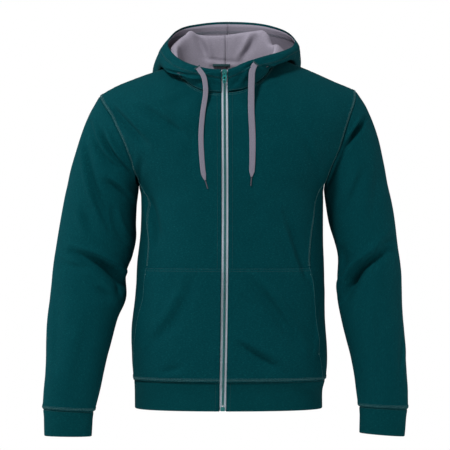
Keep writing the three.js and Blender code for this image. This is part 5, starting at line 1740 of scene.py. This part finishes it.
# %% [markdown]
# A path carries the tree as a modifier. Its result is kept as a plain mesh, so that the stitches
# can be exported, and the path itself is thrown away.

# %% Stitches along a path


def path_object(name, lines):
    """Chains of points with the direction that the cloth faces, kept as an attribute."""
    points = np.concatenate([p for p, _ in lines])
    ups = np.concatenate([u for _, u in lines])
    ends = np.cumsum([len(p) for p, _ in lines])
    starts = np.concatenate([[0], ends[:-1]])
    edges = [(k, k + 1) for a, b in zip(starts, ends) for k in range(a, b - 1)]
    mesh = bpy.data.meshes.new(name)
    mesh.from_pydata((points * MM).tolist(), edges, [])
    layer = mesh.attributes.new("up", "FLOAT_VECTOR", "POINT")
    layer.data.foreach_set("vector", ups.astype(np.float32).ravel())
    return put_in_scene(name, mesh)


def grow_along(name, lines, tree, values):
    """Runs a tree on paths and keeps the result as a plain mesh piece."""
    path = path_object(name + "_path", lines)
    modifier = path.modifiers.new("grow", "NODES")
    modifier.node_group = tree
    for item in tree.interface.items_tree:
        if item.item_type == "SOCKET" and item.in_out == "INPUT" and item.name in values:
            modifier[item.identifier] = values[item.name]
    ready = path.evaluated_get(bpy.context.evaluated_depsgraph_get())
    mesh = bpy.data.meshes.new_from_object(ready)
    mesh.name = name
    bpy.data.objects.remove(path)
    piece = put_in_scene(name, mesh)
    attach(piece, "garment")
    print(name, len(mesh.polygons), "faces")
    return piece


# %% [markdown]
# A stitch line keeps a fixed distance from the edge of a piece. It is found by measuring over the
# cloth from that edge, so it follows every fold.

# %% Stitch lines


def line_beside(name, edge, away, part=None, lift=0.25, inside=False):
    """Points on a wall's face at a distance from one of its edges, and the way the face looks."""
    wall = WALLS[name]
    grid = wall["inner"] if inside else wall["outer"]
    far = edge_distance(grid, is_tube(name))[edge]
    normals = -wall["normals"] if inside else wall["normals"]
    if edge in ("start", "end"):
        grid, far, normals = (np.swapaxes(a, 0, 1) for a in (grid, far, normals))
    if edge in ("last", "end"):
        grid, far, normals = grid[::-1], far[::-1], normals[::-1]
    points, ups = [], []
    for j in range(grid.shape[1]) if part is None else np.flatnonzero(part):
        d = far[:, j]
        points.append([np.interp(away, d, grid[:, j, k]) for k in range(3)])
        ups.append([np.interp(away, d, normals[:, j, k]) for k in range(3)])
    points, ups = np.array(points), unit(np.array(ups))
    if is_tube(name) and edge in ("first", "last") and part is None:
        points, ups = np.vstack([points, points[:1]]), np.vstack([ups, ups[:1]])
    return points + ups * lift, ups


def make_thread(name, base, light):
    material, tree, shader = new_material(name)
    spot = add(tree, "ShaderNodeTexCoord").outputs["Object"]
    twist = noise(tree, stretched(tree, spot, (1400, 1400, 700)), 1.0)
    tone = blend_colour(tree, window(tree, twist, 0.35, 0.65), srgb(*base), srgb(*light))
    give(tree, shader, Base_Color=tone, Roughness=scaled(tree, twist, 0.3, 0.55))
    bump(tree, shader, twist, 0.3, 0.0001)
    return material


THREAD = make_thread("sewing_thread", (26, 74, 78), (70, 120, 123))
THREAD_DARK = make_thread("sewing_thread_dark", (2, 44, 48), (24, 74, 78))
THREAD_GREY = make_thread("lining_thread", (96, 96, 108), (136, 138, 148))
THREAD_BLUE = make_thread("casing_thread", (58, 92, 100), (96, 122, 130))
TACK = {"Pitch": 2.9, "Length": 2.3, "Width": 0.55, "Height": 0.45, "Slant": 0.0}
LOOPS = {"Pitch": 1.8, "Length": 3.3, "Width": 0.38, "Height": 0.36, "Slant": 1.02}
BACK_LOOPS = {**LOOPS, "Slant": -1.02}


def sizes(row, thread=THREAD):
    """A row of sizes in metres, with the thread that it is sewn in."""
    out = {key: value * (1 if key == "Slant" else MM) for key, value in row.items()}
    return {**out, "Thread": thread}


print("stitches to the centimetre:", round(10 / TACK["Pitch"], 1))

# %% [markdown]
# Flat seams are covered: two straight rows with a looping thread between them. Most other rows
# are plain and in a darker thread, which is hardly seen on the cloth.

# %% Rows of stitches
ARM, LOW, NECK_PART = ROWS >= ARM_ROW, ROWS <= ARM_ROW, COLS <= NECK_COL
COVER = {"near": 1.9, "middle": 4.55, "far": 7.2}  # from the seam, in millimetres
STRIPS = [("back", edge, None) for edge in ("start", "end", "last", "first")]
rows, dark_rows = [], []
for side in ("right", "left"):
    front, hood, pocket = "front_" + side, "hood_" + side, "pocket_" + side
    STRIPS += [
        (front, "end", ARM),
        (front, "end", LOW & (ROWS >= POCKET_ROW + 0.05)),
        (front, "first", None),
        ("side_panel_" + side, "first", None),
        ("sleeve_" + side, "last", None),
        (pocket, "first", None),
    ]
    rows += [
        line_beside(front, "last", 6.4, NECK_PART),
        line_beside(front, "last", 1.9, NECK_PART),
        line_beside(hood, "first", 2.4, HOOD_COLS <= 4.2),
        line_beside(pocket, "end", 5.2),
    ]
    dark_rows += [
        line_beside(front, "start", 8.6),
        line_beside(front, "last", 2.2, ~NECK_PART),
        line_beside(front, "last", 6.6, ~NECK_PART),
        line_beside(hood, "last", CASING),
        line_beside(hood, "last", CASING - 2.4),
        line_beside(hood, "end", 2.0),
        line_beside(pocket, "last", 2.0),
        line_beside(pocket, "last", 6.4),
        line_beside("cuff_" + side, "first", 1.6),
    ]
for edge, away in (("first", 1.6), ("start", 7.8), ("end", 7.8)):
    dark_rows.append(line_beside("hem_band", edge, away))
for name, edge, part in STRIPS:
    rows += [line_beside(name, edge, COVER[which], part, 0.2) for which in ("near", "far")]
loops = [line_beside(name, edge, COVER["middle"], part, 0.16) for name, edge, part in STRIPS]
STITCHES = [
    grow_along("stitches_straight", rows, STITCH_TREE, sizes(TACK)),
    grow_along("stitches_dark", dark_rows, STITCH_TREE, sizes(TACK, THREAD_DARK)),
    grow_along("stitches_cover", loops, STITCH_TREE, sizes(LOOPS)),
    grow_along("stitches_cover_back", loops, STITCH_TREE, sizes(BACK_LOOPS)),
]

# %% [markdown]
# A bar tack closes each end of a pocket's mouth, where a hand pulls hardest. It is a short bar of
# close stitches that lie across the edge.

# %% Bar tacks and lining seams
BAR = {"Pitch": 0.55, "Length": 0.5, "Width": 2.6, "Height": 0.7, "Slant": 0.0}


def bar_tack(name, z, long=7.0):
    edge, ups = line_beside(name, "end", 0.6)
    inner, _ = line_beside(name, "end", long)
    k = int(np.argmin(np.abs(edge[:, 2] - z)))
    t = np.linspace(0, 1, 9)[:, None]
    return mix(edge[k], inner[k], t) + ups[k] * 0.2, np.repeat(ups[k][None], 9, axis=0)


SIDES = ("right", "left")
tacks = [bar_tack("pocket_" + side, MOUTH[end]) for side in SIDES for end in ("low", "high")]
centre = [line_beside("hood_lining_" + side, "end", 3.0, None, 0.2, True) for side in SIDES]
casing = [
    line_beside("hood_lining_" + side, "last", CASING + off - LINING_SHORT, None, 0.2, True)
    for side in SIDES
    for off in (-1.4, 1.4)
]
STITCHES += [
    grow_along("bar_tacks", tacks, STITCH_TREE, sizes(BAR)),
    grow_along("stitches_lining", centre, STITCH_TREE, sizes(TACK, THREAD_GREY)),
    grow_along("stitches_lining_casing", casing, STITCH_TREE, sizes(LOOPS, THREAD_BLUE)),
]

# %% [markdown]
# A zip is two woven tapes with a chain between them. The chain is one small bar repeated along the
# closing edge, so Geometry Nodes lay it: every second bar is moved a little to the other side,
# which is how the two halves hook into each other.

# %% Zip tapes
TAPE = {"near": 0.3, "top": 5.9, "wide": 10.6, "thick": 0.8, "columns": 10, "step": 3.0}
CHAIN = {"from": -34.0, "to": -664.5, "proud": 0.9}
TEETH = {"Pitch": 1.25, "Length": 1.15, "Width": 5.2, "Height": 1.8, "Shift": 0.45}


def zip_depth(z):
    """How far back the tapes lie at height z, behind the zip edge of the fronts."""
    front, hem = GRIDS["front_left"][:, 0], GRIDS["hem_band"][:, 0]
    on_front = np.interp(z, front[:, 2], front[:, 1]) + TAPE_SET
    hem = hem[np.argsort(hem[:, 2])]
    on_hem = np.interp(z, hem[:, 2], hem[:, 1]) + BAND + 0.9
    return mix(on_hem, on_front, step_up(HEM_SEAM_Z - 6, HEM_SEAM_Z + 6, z))


def lay_tape(side, sign):
    z = np.arange(HEM_Z + 1.0, ZIP_TOP_Z - 0.01, TAPE["step"])
    reach = mix(TAPE["top"], TAPE["wide"], step_up(60, 180, -z))[:, None]
    across = mix(TAPE["near"], reach, np.linspace(0, 1, TAPE["columns"]))
    ripple = 0.12 * np.sin(z / 9.0)[:, None] * (across / TAPE["wide"])
    x, y = zip_x(z)[:, None] + sign * across, zip_depth(z)[:, None] + ripple
    outer = vec(x, y, z[:, None])
    inner = outer + [0.0, TAPE["thick"], 0.0]
    name = "zip_tape_" + side
    piece = make_wall(name + "_cloth", outer, inner, False, -sign, TAPE_WEAVE)
    WALLS[name] = {"piece": piece, "outer": outer, "inner": inner}
    return piece


def make_weave(name, dark, light, scale, gloss, sheen=0.0):
    """A woven tape: fine ribs across it and a paler thread here and there."""
    material, tree, shader = new_material(name)
    uv = cloth_uv(tree)
    ribs = scaled(tree, waves(tree, uv, scale, "Y", 0.4), 0.6)
    weave = calc(tree, "ADD", ribs, scaled(tree, waves(tree, uv, scale * 0.6, "DIAGONAL"), 0.4))
    fleck = noise(tree, stretched(tree, uv, (900, 260, 1)), 1.0)
    share = scaled(tree, calc(tree, "ADD", weave, fleck), 0.5)
    tone = blend_colour(tree, window(tree, share, 0.2, 0.75), srgb(*dark), srgb(*light))
    give(tree, shader, Base_Color=tone, Roughness=scaled(tree, fleck, 0.25, gloss))
    give(tree, shader, Sheen_Weight=sheen)
    bump(tree, shader, weave, 0.6, 0.0003)
    return material


def make_plastic(name, base, light, gloss=0.32):
    """Moulded plastic: even colour, a faint cloudiness and a satin surface rubbed by use."""
    material, tree, shader = new_material(name)
    spot = add(tree, "ShaderNodeTexCoord").outputs["Object"]
    cloud = noise(tree, spot, 260.0, 3.0)
    tone = blend_colour(tree, window(tree, cloud, 0.35, 0.7), srgb(*base), srgb(*light))
    give(tree, shader, Base_Color=tone, Roughness=scaled(tree, cloud, 0.2, gloss))
    bump(tree, shader, noise(tree, spot, 2600.0), 0.15, 0.0001)
    return material


TAPE_WEAVE = make_weave("zip_tape_cloth", (128, 142, 154), (186, 198, 208), 620.0, 0.42, 0.1)
HANGER_WEAVE = make_weave("hanger_tape_cloth", (2, 40, 44), (22, 74, 78), 520.0, 0.7)
ZIP_PLASTIC = make_plastic("zip_plastic_moulded", (0, 84, 84), (14, 106, 106))
PULL_PLASTIC = make_plastic("pull_plastic_moulded", (0, 92, 92), (40, 140, 138), 0.12)
TIP_PLASTIC = make_plastic("cord_tip_moulded", (40, 42, 52), (66, 66, 78), 0.4)
for side, sign in (("right", -1), ("left", 1)):
    print(lay_tape(side, sign).name)

# %% [markdown]
# The chain's tree is the stitches' tree with another ending: a tooth isn't slanted, but moved to
# one side or the other, by whether its number is odd.

# %% Zip chain


def make_teeth_tree():
    tree, given, out, bars = open_tree("zip_teeth", "Shift", 2)
    number = add(tree, "GeometryNodeInputIndex").outputs["Index"]
    odd = calc(tree, "SUBTRACT", calc(tree, "MODULO", number, 2.0), 0.5)
    odd = calc(tree, "MULTIPLY", odd, 2.0)
    step = vector_of(tree, 0.0, calc(tree, "MULTIPLY", odd, given.outputs["Shift"]), 0.0)
    aside = add(tree, "GeometryNodeTranslateInstances", Instances=bars, Translation=step)
    give(tree, aside, Local_Space=True)
    return close_tree(tree, given, out, aside.outputs["Instances"])


TEETH_TREE = make_teeth_tree()
z = np.arange(CHAIN["from"], CHAIN["to"], -4.0)
seam_line = vec(zip_x(z), zip_depth(z) - CHAIN["proud"], z)
facing = np.tile([0.0, -1.0, 0.0], (len(z), 1))
chain = grow_along("zip_chain_teeth", [(seam_line, facing)], TEETH_TREE, sizes(TEETH, ZIP_PLASTIC))
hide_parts("zip_chain")
tape_rows = [(seam_line + [sign * 4.6, CHAIN["proud"] - 0.15, 0], facing) for sign in (-1, 1)]
PALE_THREAD = make_thread("zip_thread", (176, 186, 196), (214, 222, 228))
TAPE_ROW = {"Pitch": 2.2, "Length": 1.7, "Width": 0.4, "Height": 0.35, "Slant": 0.25}
pale = grow_along("stitches_zip_tape", tape_rows, STITCH_TREE, sizes(TAPE_ROW, PALE_THREAD))
MOULDED = {"zip_slider": ZIP_PLASTIC, "pull_tab": PULL_PLASTIC, "zip_box": ZIP_PLASTIC}
for node, finish in MOULDED.items():
    bpy.data.objects[node].material_slots[0].material = finish
print("teeth in the chain:", round((CHAIN["from"] - CHAIN["to"]) / TEETH["Pitch"]))

# %% [markdown]
# The pull tab ends in a small moulded ring, so that a finger finds it. The ring is a circle swept
# round a circle, worked out here so that its place and wire are named sizes, and it rides on the
# tab.

# %% Ring of the pull tab
RING_AT = {"x": -2.9, "y": -109.4, "z": -44.2, "radius": 2.9, "wire": 0.75, "long": 1.15}


def make_ring(around=36, section=10):
    a = np.linspace(0, 2 * math.pi, around, endpoint=False)[:, None]
    b = np.linspace(0, 2 * math.pi, section, endpoint=False)[None]
    out = RING_AT["radius"] + RING_AT["wire"] * np.cos(b)
    rings = vec(out * np.cos(a), RING_AT["wire"] * np.sin(b), out * np.sin(a) * RING_AT["long"])
    rings = rings + [RING_AT["x"], RING_AT["y"], RING_AT["z"]]
    i, j = (k.ravel() for k in np.meshgrid(np.arange(around), np.arange(section), indexing="ij"))
    i2, j2 = (i + 1) % around, (j + 1) % section
    corners = [i * section + j, i * section + j2, i2 * section + j2, i2 * section + j]
    ring = make_mesh("pull_ring", rings.reshape(-1, 3), np.stack(corners, -1), PULL_PLASTIC)
    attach(ring, "pull_tab")
    return ring


print("pull ring:", len(make_ring().data.polygons), "faces")

# %% [markdown]
# The drawcord is a flat braid. Only its two free ends are seen: each leaves the casing at the
# neck, turns over the edge and hangs down the front to a dipped tip. The same points as in the
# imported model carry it, with its width at each of them. A curve with a round bevel would be
# simpler, but a braid is flat, with a crease down its middle.

# %% Drawcord tables
CORD = {"thick": 2.1, "around": 20, "step": 1.6}
CORD_COLUMNS = "x y z half"
CORDS = {
    "right": table(
        CORD_COLUMNS,
        (-55, -108.6, -17, 4.4),
        (-51, -110.2, -22, 4.7),
        (-43, -113.5, -34, 4.8),
        (-39.5, -116.6, -50, 4.8),
        (-39, -120.3, -68, 4.8),
        (-44, -126.9, -103, 4.8),
        (-47.5, -132.8, -146, 4.9),
        (-46, -136, -189, 4.9),
        (-42.5, -136, -222, 4.6),
        (-39.5, -135.8, -233, 1.5),
    ),
    "left": table(
        CORD_COLUMNS,
        (57, -111.4, -10, 5),
        (54, -111.8, -14, 5.5),
        (50, -113.3, -24, 5.9),
        (48.5, -117.2, -44, 6),
        (48, -121.7, -68, 6),
        (48, -128.5, -103, 6),
        (50, -133.4, -146, 6),
        (50, -137, -189, 5.8),
        (49, -137.3, -216, 5.2),
        (48.2, -137.3, -227, 1.5),
    ),
}


print("cord points:", {side: len(rows["x"]) for side, rows in CORDS.items()})

# %% [markdown]
# The braid is two sets of threads that cross on the slant, over and under. The material shows the
# crossing as a fine relief, which is enough at this size.

# %% Braid


def make_braid(dark=(82, 80, 92), light=(134, 131, 145), slant=0.62):
    material, tree, shader = new_material("cord_braid_cloth")
    uv = cloth_uv(tree)
    turns = (slant, -slant)
    sets = [waves(tree, stretched(tree, uv, (1, 1, 1), turn), 170.0, "Y", 0.25) for turn in turns]
    weave = calc(tree, "MAXIMUM", *sets)
    fibre = noise(tree, stretched(tree, uv, (1500, 500, 1)), 1.0, 3.0)
    share = scaled(tree, calc(tree, "ADD", weave, fibre), 0.5)
    tone = blend_colour(tree, window(tree, share, 0.35, 0.85), srgb(*dark), srgb(*light))
    give(tree, shader, Base_Color=tone, Roughness=scaled(tree, fibre, 0.2, 0.7))
    give(tree, shader, Specular_IOR_Level=0.2)
    bump(tree, shader, weave, 0.55, 0.0004)
    return material


BRAID = make_braid()
print("material:", BRAID.name)

# %% [markdown]
# A cord is laid by sweeping its flat section along the points. It takes the place of the imported
# cord, and the tip on its end gets a moulded finish.

# %% Laying the drawcord


def cord_tube(row):
    """Rings of a flat tube along a cord's points, their UVs in millimetres, and the centre line."""
    places = vec(row["x"], row["y"], row["z"])
    run = np.concatenate([[0], np.cumsum(np.linalg.norm(np.diff(places, axis=0), axis=1))])
    s = np.linspace(0, run[-1], int(run[-1] / CORD["step"]) + 1)
    line = np.array([catmull(places, k) for k in np.interp(s, run, np.arange(len(places)))])
    half = np.interp(s, run, row["half"])
    ahead = unit(np.gradient(line, axis=0))
    wide = unit(np.cross(ahead, np.cross([1.0, 0.0, 0.0], ahead)))
    deep = np.cross(wide, ahead)
    turn = np.linspace(0, 2 * math.pi, CORD["around"] + 1)
    x, y = power(np.cos(turn), 0.55), power(np.sin(turn), 0.75)
    y = y * (1 - 0.22 * bell(x, 0.22))
    thick = CORD["thick"] / 2 * np.minimum(1, half / 1.4)
    rings = line[:, None] + wide[:, None] * (half[:, None] * x)[..., None]
    rings = rings + deep[:, None] * (thick[:, None] * y)[..., None]
    uv = vec(half[:, None] * x, s[:, None])
    return rings, uv, line


def tube_mesh(name, rings, uv, material):
    """A closed tube from rings whose last point repeats the first; its ends are flat caps."""
    rows, columns = len(rings), rings.shape[1] - 1
    a, b = (k.ravel() for k in np.meshgrid(np.arange(rows - 1), np.arange(columns), indexing="ij"))
    rows_of, columns_of = np.stack([a, a, a + 1, a + 1], -1), np.stack([b, b + 1, b + 1, b], -1)
    faces = (rows_of * columns + columns_of % columns).tolist()
    caps = [list(range(columns))[::-1], list(range((rows - 1) * columns, rows * columns))]
    mesh = bpy.data.meshes.new(name)
    mesh.from_pydata((rings[:, :-1].reshape(-1, 3) * MM).tolist(), [], faces + caps)
    flat = np.zeros((len(mesh.loops), 2), np.float32)
    flat[: 4 * len(a)] = uv[rows_of, columns_of].reshape(-1, 2) * MM
    mesh.uv_layers.new(name="cloth").uv.foreach_set("vector", flat.ravel())
    mesh.polygons.foreach_set("use_smooth", np.arange(len(mesh.polygons)) < len(a))
    mesh.materials.append(material)
    return put_in_scene(name, mesh)


def lay_cord(side):
    name = "drawcord_" + side
    rings, uv, line = cord_tube(CORDS[side])
    piece = tube_mesh(name + "_braid", rings, uv, BRAID)
    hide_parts(name)
    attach(piece, "garment")
    tip = bpy.data.objects["cord_tip_" + side]
    tip.material_slots[0].material = TIP_PLASTIC
    return piece


def eyelet_painted_shade(side, reach=1.6, lift=1.5, steps=15):
    """A worked edge over a cord's exit from the casing; its dark thread is also painted shade."""
    rings = cord_tube(CORDS[side])[0]
    near, far = rings[0, 0], rings[0, CORD["around"] // 2]
    t = np.linspace(-reach / 10, 1 + reach / 10, steps)[:, None]
    path = mix(near, far, t) + [0.0, -lift, 0.0]
    path[:, 1] += 1.1 * np.abs(2 * t[:, 0] - 1) ** 3
    return path, np.tile([0.0, -1.0, 0.0], (steps, 1))


for side in SIDES:
    lay_cord(side)
EYELET_PAINTED_SHADE = {"Pitch": 0.55, "Length": 0.62, "Width": 3.4, "Height": 1.5, "Slant": 0.12}
edges = [eyelet_painted_shade(side) for side in SIDES]
# Painted shade: real eyelet stitches, whose dark thread also darkens the fold at each cord's exit.
worked = grow_along("cord_eyelets", edges, STITCH_TREE, sizes(EYELET_PAINTED_SHADE, THREAD_DARK))

# %% [markdown]
# The hanger loop is a short piece of tape, sewn down at its ends inside the back of the neck. It
# bows away from the lining between them, so a hook can go behind it.

# %% Hanger loop
LOOP = {"from": -26.0, "to": 8.0, "z": -3.0, "tall": 5.0, "thick": 1.2}
LOOP |= {"bow": 2.0, "lean": 1.6, "seat": 59.4, "swell": 0.25}
t, up = np.linspace(0, 1, 41), np.linspace(-1, 1, 9)[:, None]
y = LOOP["seat"] - LOOP["lean"] * (1 - t) - LOOP["bow"] * np.sin(math.pi * t)
x = mix(LOOP["from"], LOOP["to"], t)
z = LOOP["z"] + LOOP["tall"] / 2 * up
front = vec(x, y - LOOP["swell"] * (1 - up**2), z)
back = vec(x, y + LOOP["thick"] + 0 * up, z)
loop = make_wall("hanger_loop_cloth", front, back, False, -1, HANGER_WEAVE)
WALLS["hanger_loop"] = {"piece": loop, "outer": front, "inner": back}
print("hanger loop", len(loop.data.polygons), "faces")

# %% [markdown]
# Every cloth piece takes the place of its imported panel and hangs on the garment, and the size it
# was cut to is worked out. A cutter measures the widest and the longest stretch of a piece for the
# rectangle, and the cloth inside it for the area.

NARROWEST = 0.01
FLAT = {}
for name, wall in WALLS.items():
    piece, grid, tube = wall["piece"], wall["outer"], is_tube(name)
    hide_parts(name)
    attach(piece, "garment")
    far = edge_distance(closed(grid, tube), False)
    width, length = float(far["u"][:, -1].max()) * MM, float(far["v"][-1].max()) * MM
    flat = (max(round(width, 3), NARROWEST), round(length, 3))
    if name == "hanger_loop":
        flat = (NARROWEST, round(width, 3))
    area = min(area_of(grid, tube), flat[0] * flat[1])
    side = "left" if name.endswith("left") else "right"
    FLAT[name] = (*flat, round(area, 4))
for name, size in FLAT.items():
    print(name, "cut", round(size[0] * 1000), "x", round(size[1] * 1000), "mm, area", size[2], "m2")
